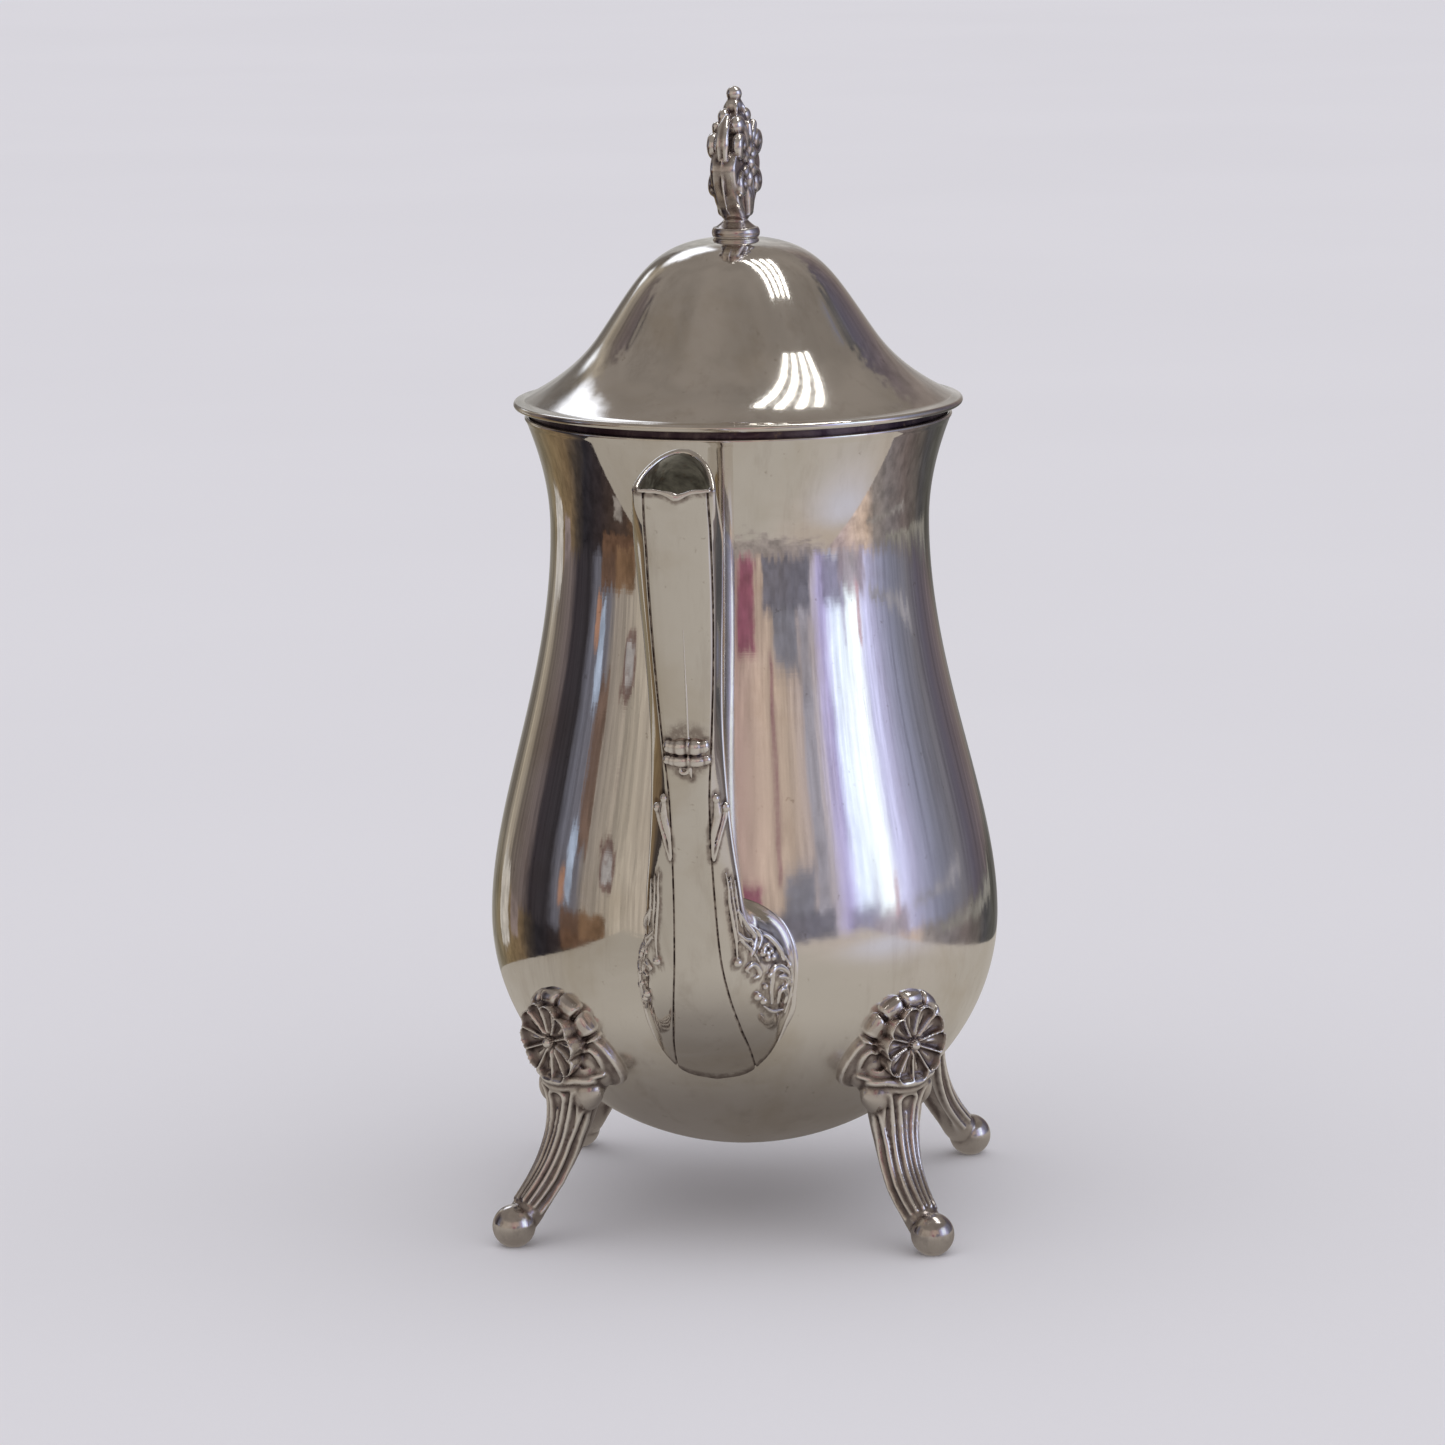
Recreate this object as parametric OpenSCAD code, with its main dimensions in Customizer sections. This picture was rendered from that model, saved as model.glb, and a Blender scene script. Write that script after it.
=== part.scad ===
// Footed silver coffee pot: pear-shaped body, swan-neck spout, hinged dome lid with a
// cast finial, insulated scroll handle and four cast feet.
// Frame: +Z up, origin on the table under the body's axis, spout towards -Y and handle
// towards +Y. All sizes are in millimetres.

/* [Body] */
// Radius of the belly at its widest
belly_r = 58; // [57:0.5:59]
// Height of the belly's widest point above the table
belly_z = 68; // [67:0.5:69]
// Depth of the rounded bowl below the widest point
bowl_depth = 53; // [52:0.5:54]
// Outer radius of the waist under the mouth
waist_r = 43; // [42.5:0.1:43.5]
// Height of the waist
waist_z = 158; // [156:1:160]
// Outer radius of the mouth's rim
rim_r = 48.4; // [48:0.1:48.8]
// Height of the mouth's rim
rim_z = 183; // [182.5:0.1:183.5]
// Thickness of the body's metal
body_wall = 1.0; // [0.8:0.1:1.2]

/* [Mouth ring] */
// Inner radius of the ring soldered inside the mouth
ring_in_r = 45.0; // [44.8:0.1:45.2]
// Outer radius of the ring where it stands above the rim
ring_out_r = 47.0; // [46.8:0.1:47.2]
// Height of the ring's top, which carries the lid
ring_top_z = 184.8; // [184.6:0.1:184.8]

/* [Lid] */
// Radius of the lid at its lip
lid_r = 50.3; // [50:0.1:50.4]
// Height of the lip's upper side
lid_z = 186; // [185.9:0.1:186.1]
// Height of the dome's flat crown
crown_z = 222.9; // [222:0.1:224]
// Thickness of the lid's metal
lid_wall = 1.0; // [0.8:0.1:1.2]
// Radius of the bead rolled along the lip
lip_bead_r = 0.8; // [0.7:0.05:0.8]
// Outer radius of the lid's skirt inside the mouth
skirt_r = 44.0; // [43.6:0.1:44.2]
// Height of the skirt's lower edge
skirt_z = 178.5; // [176:0.5:180]

/* [Lid hinge] */
// Distance of the hinge pin behind the body's axis
hinge_y = 53.8; // [53.6:0.1:54.2]
// Height of the hinge pin
hinge_z = 185.2; // [185:0.1:185.5]
// Radius of the hinge knuckles
knuckle_r = 2.4; // [2.2:0.1:2.5]
// Radius of the hinge pin
hinge_pin_r = 1.0; // [0.9:0.05:1.1]
// Radial running clearance of the pin in the lid's knuckle
hinge_fit = 0.05; // [0.03:0.01:0.08]
// Width of the whole hinge
hinge_w = 17; // [15:1:20]
// Width of the lid's middle knuckle
mid_knuckle_w = 6; // [5:0.5:7]

/* [Finial] */
// Height of the finial's tip above the table
finial_top_z = 256.8; // [255:0.1:258]
// Thickness of the flat casting
finial_t = 8.4; // [7:0.1:10]
// Breadth of the flat casting
finial_w = 23; // [20:0.5:26]
// Radius of the turned bun under the casting
bun_r = 6.0; // [5.5:0.1:6.5]
// Height of the bun
bun_h = 3.8; // [3.4:0.1:4.2]
// Radius of the stud that holds the finial
stud_r = 2.0; // [1.8:0.1:2.2]

/* [Spout] */
// Thickness of the spout's cast wall
spout_wall = 1.5; // [1.3:0.1:1.7]
// Radius of the strainer holes in the body's wall
strainer_hole_r = 1.5; // [1.2:0.1:1.7]
// Distance between the strainer holes
strainer_pitch = 5; // [4.5:0.1:5.2]

/* [Feet] */
// Distance of the ball toes from the body's axis
toe_ring_r = 66.4; // [65:0.2:68]
// Radius of the ball toes
toe_r = 4.9; // [4.7:0.1:5.1]
// Height of the rosettes' centres
rosette_z = 46; // [45:0.5:47]
// Radius of the rosettes
rosette_r = 8.9; // [8:0.1:9.5]
// Number of petals on each rosette
petals = 10; // [8:1:12]

/* [Handle] */
// Reach of the handle's back behind the body's axis
handle_reach = 101.2; // [100:0.1:103]
// Half of the handle's width, side to side
handle_half_w = 5.4; // [5:0.1:6]
// Half of the handle's thickness, front to back
handle_half_t = 5.2; // [4.8:0.1:5.6]
// Thickness of the insulator discs
insulator_t = 2.0; // [1.6:0.1:2.4]
// Radius of the insulators' spigots
spigot_r = 3.6; // [3.4:0.1:3.8]
// Radius of the pins through the spigots
handle_pin_r = 0.8; // [0.7:0.1:0.9]

/* [Hidden] */
$fn = 64;
silver = [0.78, 0.76, 0.72];
dark_silver = [0.55, 0.52, 0.49];
ivory = [0.90, 0.86, 0.74];
far = 300;                    // longer than the whole pot, for cutting blocks

// Curves ---------------------------------------------------------------------------

// Point of a cubic Bezier curve with the four control points p, at t from 0 to 1
function bezier_point(p, t) =
    pow(1 - t, 3) * p[0] + 3 * pow(1 - t, 2) * t * p[1]
    + 3 * (1 - t) * t * t * p[2] + t * t * t * p[3];

// The curve as n steps, without its first point
function bezier(p, n) = [for (i = [1:n]) bezier_point(p, i / n)];

// Quarter of an ellipse from the bottom centre out to its widest point
function bowl_arc(r, depth, z, n) =
    [for (i = [0:n]) [r * sin(90 * i / n), z - depth * cos(90 * i / n)]];

// Unit vector, and the left-hand normal, of a 2-D vector
function unit(v) = v / norm(v);
function left(v) = [-v[1], v[0]];

// Direction of an outline at its point i
function heading(path, i) =
    unit(path[min(i + 1, len(path) - 1)] - path[max(i - 1, 0)]);

// Outline moved to its left by d, point by point
function shifted(path, d) =
    [for (i = [0:len(path) - 1]) path[i] + d * left(heading(path, i))];

function reversed(list) = [for (i = [len(list) - 1:-1:0]) list[i]];

// Value at x from a rising list of [x, value] pairs, in straight lines between them
function lookup_pair(x, table) =
    let (after = [for (k = table) if (k[0] >= x) k][0],
         before = reversed([for (k = table) if (k[0] <= x) k])[0])
    after[0] == before[0] ? after[1]
        : before[1] + (after[1] - before[1]) * (x - before[0]) / (after[0] - before[0]);

// Closed solid through a list of rings with the same number of points each
module skin(rings) {
    sides = len(rings[0]);
    last = len(rings) - 1;
    points = [for (ring = rings) each ring];
    walls = [for (i = [0:last - 1], j = [0:sides - 1])
        let (a = i * sides + j, b = i * sides + (j + 1) % sides)
        each [[a, b, b + sides], [a, b + sides, a + sides]]];
    start_cap = [[for (j = [sides - 1:-1:0]) j]];
    end_cap = [[for (j = [0:sides - 1]) last * sides + j]];
    polyhedron(points, concat(start_cap, walls, end_cap), convexity = 8);
}

// Oval rings along a path in the XZ plane; sizes holds [half width in Y, half thickness]
function oval_rings(path, sizes, sides) =
    [for (i = [0:len(path) - 1])
        let (n = left(heading(path, i)))
        [for (j = [0:sides - 1])
            let (turn = 360 * j / sides)
            [path[i][0] + n[0] * sizes[i][1] * cos(turn),
             sizes[i][0] * sin(turn),
             path[i][1] + n[1] * sizes[i][1] * cos(turn)]]];

// Body -----------------------------------------------------------------------------

bowl_curve = bowl_arc(belly_r, bowl_depth, belly_z, 20);
belly_curve = bezier([[belly_r, belly_z], [belly_r, belly_z + 26.4],
                      [waist_r, waist_z - 35.3], [waist_r, waist_z]], 18);
neck_curve = bezier([[waist_r, waist_z], [waist_r, waist_z + 10.2],
                     [rim_r - 2.5, rim_z - 6.3], [rim_r, rim_z]], 10);
body_outline = concat(bowl_curve, belly_curve, neck_curve);

// The inside face, kept on the axis at the bottom and level at the rim
body_inset = shifted(body_outline, body_wall);
last_point = len(body_outline) - 1;
body_inside = [for (i = [0:last_point])
    i == 0 ? [0, body_outline[0][1] + body_wall]
    : i == last_point ? [rim_r - body_wall, rim_z]
    : body_inset[i]];

// Everything inside the body's outer surface, to trim what is soldered on it
module body_block() {
    rotate_extrude() polygon(concat(body_outline, [[0, rim_z]]));
}

strainer_z = 61;
module strainer_holes() {
    rows = 2;
    for (row = [-rows:rows], col = [max(-rows, -row - rows):min(rows, rows - row)])
        translate([strainer_pitch * (col + row / 2), 0,
                   strainer_z + strainer_pitch * row * sin(60)])
            rotate([90, 0, 0]) translate([0, 0, belly_r - 10]) cylinder(r = strainer_hole_r, h = 20);
}

module body_shell() {
    color(silver) difference() {
        rotate_extrude() polygon(concat(body_outline, reversed(body_inside)));
        strainer_holes();
    }
}

// Ring soldered inside the flaring mouth; its outer face follows the body's inside
ring_foot_z = 177;
module mouth_ring() {
    seat = [for (p = body_inside) if (p[1] > ring_foot_z && p[0] < ring_out_r) p];
    outline = concat([[ring_in_r, seat[0][1]]], seat,
                     [[ring_out_r, rim_z], [ring_out_r, ring_top_z], [ring_in_r, ring_top_z]]);
    color(dark_silver) rotate_extrude() polygon(outline);
}

// Spout ----------------------------------------------------------------------------

// Sections from the root, sunk in the body, up to the mouth: the front point and the
// back point as [y, z], the half width of the front facet and the half width overall
spout_sections = [
    [[-50.0, 37.5], [-50.0, 81.0], 9.5, 18.0],
    [[-56.5, 45.5], [-59.5, 80.0], 9.0, 16.4],
    [[-64.5, 53.0], [-63.0, 81.0], 7.6, 13.4],
    [[-72.2, 61.7], [-64.3, 83.5], 6.3, 11.0],
    [[-77.9, 72.5], [-65.2, 87.5], 5.2, 9.8],
    [[-81.6, 86.0], [-66.8, 95.0], 4.6, 9.0],
    [[-84.6, 98.0], [-69.2, 104.0], 4.4, 8.1],
    [[-87.4, 111.0], [-72.0, 114.5], 4.5, 7.4],
    [[-89.9, 125.0], [-74.8, 127.0], 5.6, 7.1],
    [[-92.6, 141.0], [-77.3, 142.5], 6.6, 7.5],
    [[-95.6, 155.5], [-79.3, 157.5], 7.1, 8.2],
    [[-98.6, 168.0], [-81.4, 171.0], 7.3, 8.8],
    [[-100.3, 174.5], [-84.0, 181.0], 7.1, 8.9],
    [[-101.2, 178.6], [-89.2, 187.2], 6.6, 8.8]
];

// Half outline of a section: how far back from the front facet, and how wide, each as a
// share of the depth and of the half width
spout_flank = [[0.16, 1.0], [0.42, 1.0], [0.68, 0.88], [0.88, 0.58]];

// One ring of the spout, drawn inwards by inset on every side
function spout_ring(section, inset) =
    let (front = section[0], back = section[1],
         depth = norm(back - front) - 2 * inset,
         inward = unit(back - front),
         start = front + inset * inward,
         facet = section[2] - 0.6 * inset,
         half = section[3] - inset,
         right_side = concat([[0, facet]], [for (f = spout_flank) [f[0] * depth, f[1] * half]]),
         outline = concat(right_side, [[depth, 0]],
                          reversed([for (p = right_side) [p[0], -p[1]]])))
    [for (p = outline) [-p[1], start[0] + p[0] * inward[0], start[1] + p[0] * inward[1]]];

// Two rounded bars of the collar across the front facet
collar_z = [119.4, 122.5];
module spout_collar() {
    for (z = collar_z)
        translate([0, -86.8 - 0.18 * (z - 111), z])
            rotate([0, 90, 0]) cylinder(r = 1.7, h = 10.4, center = true);
}

module spout() {
    last = len(spout_sections) - 1;
    inner_sections = [for (i = [0:last])
        i == 0 ? [[-46, 39.5], [-46, 78.5], 9.5, 18.0] : spout_sections[i]];
    lip_end = [spout_ring([[-103.1, 182.8], [-93.1, 193.0], 6.6, 8.8], spout_wall)];
    difference() {
        union() {
            skin([for (s = spout_sections) spout_ring(s, 0)]);
            spout_collar();
        }
        skin(concat([for (s = inner_sections) spout_ring(s, spout_wall)], lip_end));
        body_block();
    }
}

module spout_left_half() {
    color(silver) intersection() {
        spout();
        translate([-far, -far / 2, 0]) cube([far, far, far]);
    }
}

module spout_right_half() {
    color(silver) intersection() {
        spout();
        translate([0, -far / 2, 0]) cube([far, far, far]);
    }
}

// Feet -----------------------------------------------------------------------------

// Leg from under the rosette to the ball toe, as [distance from the axis, height]
leg_path = concat([[51.0, 41.0]],
    bezier([[51.0, 41.0], [50.0, 26.0], [53.5, 15.0], [toe_ring_r - 1, toe_r]], 12));
// Half width and half depth of the leg by height
leg_widths = [[0, 3.4], [9, 3.5], [16, 3.8], [24, 4.4], [31, 5.8], [36, 7.4], [45, 7.6]];
leg_depths = [[0, 2.6], [9, 2.7], [16, 3.0], [24, 3.5], [31, 4.3], [36, 5.4], [45, 5.4]];
rosette_front = 59.4;         // distance of the rosette's face from the axis
rosette_tilt = 10;            // lean of the rosette's face out at its top
backing_t = 2.6;              // how proud the shell-shaped backing stands of the body

// Shell-shaped backing that spreads on the body behind the rosette, lobes along its top
module backing_outline() {
    lobes = 9;
    translate([-13, -8.6]) square([26, 6]);
    for (i = [0:lobes - 1])
        let (turn = -12 + 204 * i / (lobes - 1))
        translate([11.6 * cos(turn), 9.2 * sin(turn)]) circle(r = 4.2, $fn = 24);
    circle(r = 10, $fn = 40);
}

// Ten-lobed outline of the flower
module rosette_outline() {
    steps = petals * 6;
    polygon([for (i = [0:steps - 1])
        let (turn = 360 * i / steps, r = rosette_r - 0.8 + 0.8 * abs(cos(turn * petals / 2)))
        [r * sin(turn), r * cos(turn)]]);
}

// One foot standing along +X; everything inside the body is trimmed away
module foot() {
    leg_sizes = [for (p = leg_path) [lookup_pair(p[1], leg_widths), lookup_pair(p[1], leg_depths)]];
    color(dark_silver) difference() {
        union() {
            skin(oval_rings(leg_path, leg_sizes, 16));
            translate([toe_ring_r, 0, toe_r - 0.4]) sphere(r = toe_r, $fn = 48);
            translate([rosette_front, 0, rosette_z]) rotate([0, rosette_tilt, 0]) {
                rotate([90, 0, -90]) linear_extrude(14) rosette_outline();
                sphere(r = 1.3, $fn = 24);
            }
            intersection() {
                translate([80, 0, rosette_z]) rotate([90, 0, -90])
                    linear_extrude(50) backing_outline();
                rotate_extrude() polygon(concat([[0, bowl_curve[0][1] - backing_t]],
                    shifted(concat(bowl_curve, [belly_curve[0]]), -backing_t), [[0, belly_z]]));
            }
        }
        body_block();
        translate([0, -far / 2, -far]) cube([far, far, far]);
    }
}

module foot_front_left() { rotate([0, 0, -135]) foot(); }
module foot_front_right() { rotate([0, 0, -45]) foot(); }
module foot_back_left() { rotate([0, 0, 135]) foot(); }
module foot_back_right() { rotate([0, 0, 45]) foot(); }

// Handle ---------------------------------------------------------------------------

// Each joint of the handle: where its axis leaves the body, as [y, z], and its rise
upper_seat = [43.4, 166];
upper_rise = 25;
upper_socket_len = 10;
lower_seat = [57.0, 77];
lower_rise = 15;
lower_socket_len = 8;
spigot_len = 6;
seat_sink = 4;                // how far a socket runs into the body before it is trimmed
bore_fit = 0.05;              // clearance round and past the end of each spigot

function along(angle) = [cos(angle), sin(angle)];
upper_end = upper_seat + (upper_socket_len + insulator_t) * along(upper_rise);
lower_end = lower_seat + (lower_socket_len + insulator_t) * along(lower_rise);
back_y = handle_reach - handle_half_t;
back_z = 146;

// Places children with +Z along a handle joint's axis, from its seat on the body
module at_seat(seat, rise) {
    translate([0, seat[0], seat[1]]) rotate([rise - 90, 0, 0]) children();
}

// Outside of a tapered ferrule with a bead at its mouth
module socket_block(seat, rise, len) {
    at_seat(seat, rise) {
        translate([0, 0, -seat_sink]) cylinder(r1 = 9.2, r2 = 6.2, h = len + seat_sink);
        translate([0, 0, len - 1.6]) cylinder(r = 7.0, h = 1.6);
    }
}

// Ferrule soldered on the body, with a blind hole for the spigot
module socket(seat, rise, len) {
    color(silver) difference() {
        socket_block(seat, rise, len);
        at_seat(seat, rise) translate([0, 0, len - spigot_len - bore_fit])
            cylinder(r = spigot_r + bore_fit, h = far);
        at_seat(seat, rise) translate([0, 0, len - spigot_len / 2]) rotate([0, 90, 0])
            cylinder(r = handle_pin_r, h = far, center = true);
        body_block();
    }
}

module handle_socket_upper() { socket(upper_seat, upper_rise, upper_socket_len); }
module handle_socket_lower() { socket(lower_seat, lower_rise, lower_socket_len); }

// Disc with a spigot on each face, each cross-drilled for its pin
module insulator(seat, rise, len) {
    color(ivory) at_seat(seat, rise) translate([0, 0, len]) difference() {
        union() {
            cylinder(r = 6.8, h = insulator_t);
            translate([0, 0, -spigot_len]) cylinder(r = spigot_r, h = 2 * spigot_len + insulator_t);
        }
        for (z = [-spigot_len / 2, insulator_t + spigot_len / 2])
            translate([0, 0, z]) rotate([0, 90, 0])
                cylinder(r = handle_pin_r, h = far, center = true);
    }
}

module insulator_upper() { insulator(upper_seat, upper_rise, upper_socket_len); }
module insulator_lower() { insulator(lower_seat, lower_rise, lower_socket_len); }

// The path starts and ends inside the discs, where the handle is cut off level with them
path_sink = 1;
handle_path = concat([upper_end - path_sink * along(upper_rise), upper_end],
    bezier([upper_end, upper_end + 26 * along(upper_rise), [back_y, back_z + 30],
            [back_y, back_z]], 16),
    bezier([[back_y, back_z], [back_y, back_z - 28], lower_end + 20 * along(lower_rise),
            lower_end], 16),
    [lower_end - path_sink * along(lower_rise)]);

// Swells to the discs' size at both ends
function handle_size(i) =
    let (share = i / (len(handle_path) - 1), swell = pow(abs(2 * share - 1), 6))
    [handle_half_w + (6.2 - handle_half_w) * swell, handle_half_t + (6.2 - handle_half_t) * swell];

// Curl that runs down and round under the handle's lower bend
volute_centre = [86.5, 78.0];
volute_turn = 300;
volute_steps = 16;
volute_path = [for (i = [0:volute_steps])
    let (share = i / volute_steps, angle = 105 - volute_turn * share, r = 9.5 - 6 * share)
    volute_centre + r * along(angle)];
volute_sizes = [for (i = [0:volute_steps])
    let (share = i / volute_steps) [5.0 - 1.8 * share, 3.8 - 1.6 * share]];

// Leaf for the thumb, rising from the top of the handle
thumb_path = concat([[66, 175.5]], bezier([[66, 175.5], [76, 186], [82, 182], [90, 189]], 10));
thumb_sizes = [for (i = [0:10]) [3.0 + 3.2 * sin(150 * i / 10), 2.4 - 0.12 * i]];

module handle() {
    sizes = [for (i = [0:len(handle_path) - 1]) handle_size(i)];
    color(silver) difference() {
        rotate([0, 0, 90]) union() {
            skin(oval_rings(handle_path, sizes, 16));
            skin(oval_rings(volute_path, volute_sizes, 12));
            skin(oval_rings(thumb_path, thumb_sizes, 12));
        }
        for (j = [[upper_end, upper_rise], [lower_end, lower_rise]])
            at_seat(j[0], j[1]) {
                cylinder(r = spigot_r + bore_fit, h = 2 * (spigot_len + bore_fit), center = true);
                translate([0, 0, -3]) cylinder(r = 8, h = 3);
                translate([0, 0, spigot_len / 2]) rotate([0, 90, 0])
                    cylinder(r = handle_pin_r, h = far, center = true);
            }
    }
}

// The four pins, each as long as what it crosses
module handle_pins() {
    spots = [[upper_seat, upper_rise, upper_socket_len], [lower_seat, lower_rise, lower_socket_len]];
    color(silver) for (s = spots, z = [-spigot_len / 2, insulator_t + spigot_len / 2])
        at_seat(s[0], s[1]) translate([0, 0, s[2] + z]) rotate([0, 90, 0])
            cylinder(r = handle_pin_r, h = 11.6, center = true);
}

// Lid hinge ------------------------------------------------------------------------

side_knuckle_w = (hinge_w - mid_knuckle_w) / 2;
knuckle_gap = 0.2;
leaf_w = 11;

// Cylinder along X about the hinge's axis, centred at x
module on_hinge(r, w, x = 0) {
    translate([x, hinge_y, hinge_z]) rotate([0, 90, 0]) cylinder(r = r, h = w, center = true);
}

// Bracket behind the rim with the two outer knuckles
module hinge_body_leaf() {
    w = side_knuckle_w - knuckle_gap;
    bracket = [[42, 172.5], [46.5, 172.5], [hinge_y + 1.9, hinge_z - 1.5], [hinge_y - 1.9, hinge_z - 1.5],
               [hinge_y - 4.6, hinge_z - 2.7], [42, rim_z - 0.8]];
    color(silver) difference() {
        union() {
            translate([-hinge_w / 2, 0, 0]) rotate([90, 0, 90]) linear_extrude(hinge_w) polygon(bracket);
            for (side = [-1, 1])
                on_hinge(knuckle_r, w, side * (mid_knuckle_w / 2 + knuckle_gap + w / 2));
        }
        on_hinge(hinge_pin_r, far);
        on_hinge(knuckle_r + 0.4, mid_knuckle_w + 2 * knuckle_gap);
        socket_block(upper_seat, upper_rise, upper_socket_len);
        body_block();
    }
}

module hinge_pin() {
    color(silver) on_hinge(hinge_pin_r, hinge_w);
}

// Lid -----------------------------------------------------------------------------

lid_outline = reversed(concat([[lid_r, lid_z]],
    bezier([[lid_r, lid_z], [lid_r - 8.1, lid_z + 3.8], [35.7, 194.5], [31.2, 201.1]], 14),
    bezier([[31.2, 201.1], [21.3, 215.3], [18.7, crown_z], [0, crown_z]], 14)));
lid_inset = shifted(lid_outline, -lid_wall);
lid_edge = len(lid_outline) - 1;

// The lip is rolled into a bead that ends the outline and starts the inside
bead_centre = [lid_r - 0.25, lid_z - 0.25];
lip_bead = [for (turn = [70:-20:-190]) bead_centre + lip_bead_r * [cos(turn), sin(turn)]];
lid_top = concat([for (i = [0:lid_edge - 1]) lid_outline[i]], lip_bead);
lid_inside = [for (i = [0:lid_edge - 1]) i == 0 ? [0, crown_z - lid_wall] : lid_inset[i]];

module lid_section() {
    polygon(concat(lid_top, reversed(lid_inside)));
}

module lid_shell() {
    color(silver) difference() {
        rotate_extrude() lid_section();
        translate([0, 0, crown_z - 5]) cylinder(r = stud_r, h = 10);
    }
}

// Flange under the lip, which rests on the mouth ring, and the skirt inside the mouth
module lid_skirt() {
    flange_z = ring_top_z + 0.2;
    color(dark_silver) rotate_extrude() difference() {
        union() {
            translate([skirt_r - 0.8, skirt_z]) square([0.8, flange_z + 0.8 - skirt_z]);
            translate([skirt_r - 0.8, flange_z]) square([lid_r - skirt_r, 0.8]);
        }
        lid_section();
    }
}

// Middle knuckle with a leaf that lies on the lid
module hinge_lid_leaf() {
    arm = [[hinge_y + 0.4, hinge_z + 2.3], [hinge_y - 2.3, hinge_z + 3.2], [43, 191.8],
           [42, 189], [lid_r - 0.5, lid_z + 0.2], [hinge_y - 1.5, hinge_z + 0.8]];
    color(silver) difference() {
        union() {
            translate([-mid_knuckle_w / 2, 0, 0]) rotate([90, 0, 90])
                linear_extrude(mid_knuckle_w) polygon(arm);
            intersection() {
                translate([-leaf_w / 2, 0, 0]) rotate([90, 0, 90]) linear_extrude(leaf_w) polygon(arm);
                translate([-far / 2, 0, 0]) cube([far, hinge_y - knuckle_r - 0.5, far]);
            }
            on_hinge(knuckle_r, mid_knuckle_w);
        }
        on_hinge(hinge_pin_r + hinge_fit, far);
        rotate_extrude() polygon(concat(lid_top, [[0, lid_z]]));
    }
}

// Finial ---------------------------------------------------------------------------

bun_top = crown_z + bun_h;
module finial_bun() {
    color(silver) translate([0, 0, crown_z]) rotate_extrude() polygon(concat(
        [[stud_r, 0], [bun_r - 0.6, 0]],
        [for (turn = [-60:20:80]) [bun_r - 1.9 + 1.9 * cos(turn), bun_h / 2 + bun_h / 2 * sin(turn)]],
        [[3, bun_h], [stud_r, bun_h]]));
}

// Flat scroll-leaf casting with stacked buds above; it faces sideways
module finial() {
    body_top = 250;
    mid = (bun_top + body_top) / 2 + 1.5;
    tall = (body_top - bun_top) / 2;
    lobes = [[0, 0, 9.5], [0.62, 0.28, 5.2], [0.66, -0.22, 4.6], [0.35, 0.62, 4.6], [0.38, -0.6, 4.2]];
    color(dark_silver) difference() {
        union() {
            translate([-finial_t / 2, 0, mid]) rotate([90, 0, 90]) linear_extrude(finial_t) union() {
                for (side = [-1, 1], lobe = lobes)
                    translate([side * lobe[0] * finial_w / 2, lobe[1] * tall]) circle(r = lobe[2]);
            }
            translate([0, 0, bun_top]) cylinder(r1 = 3.2, r2 = 4.4, h = 6);
            for (bud = [[248.6, 3.4], [252.0, 2.7], [finial_top_z - 1.8, 1.8]])
                translate([0, 0, bud[0]]) sphere(r = bud[1]);
        }
        translate([0, 0, bun_top - 1]) cylinder(r = stud_r, h = 9);
    }
}

// The washer's edge bears on the dome's inside, which falls away from the crown
washer_r = 4.6;
washer_t = 0.8;
nut_t = 3.0;
washer_top_z = lookup_pair(washer_r, lid_inside);
stud_low_z = washer_top_z - washer_t - nut_t - 1.4;
module finial_stud() {
    color(silver) translate([0, 0, stud_low_z]) cylinder(r = stud_r, h = bun_top + 8 - stud_low_z);
}

module finial_washer() {
    color(silver) translate([0, 0, washer_top_z - washer_t]) difference() {
        cylinder(r = washer_r, h = washer_t);
        translate([0, 0, -1]) cylinder(r = stud_r, h = 3);
    }
}

module finial_nut() {
    color(silver) translate([0, 0, washer_top_z - washer_t - nut_t]) difference() {
        cylinder(r = 4.0, h = nut_t, $fn = 6);
        translate([0, 0, -1]) cylinder(r = stud_r, h = nut_t + 2);
    }
}

body_shell();
mouth_ring();
spout_left_half();
spout_right_half();
foot_front_left();
foot_front_right();
foot_back_left();
foot_back_right();
handle_socket_upper();
handle_socket_lower();
insulator_upper();
insulator_lower();
handle();
handle_pins();
hinge_body_leaf();
hinge_pin();
hinge_lid_leaf();
lid_shell();
lid_skirt();
finial();
finial_bun();
finial_stud();
finial_washer();
finial_nut();
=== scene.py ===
"""Looks of the footed silver coffee pot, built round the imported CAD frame.

Shapes are worked out in millimetres in the CAD frame (+Z up, spout towards -Y, handle
towards +Y) and become metres when a mesh is made. Spun pieces are fine lathes, the spout
and the handle are lofts, and the cast ornament is modelled from lobes, tubes and reliefs
that are fused into one skin, whose hollows carry a dark patina.
"""
import math

import bmesh
import bpy
import numpy as np
from mathutils import Matrix, Vector
from mathutils.bvhtree import BVHTree
from mathutils.kdtree import KDTree


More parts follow.
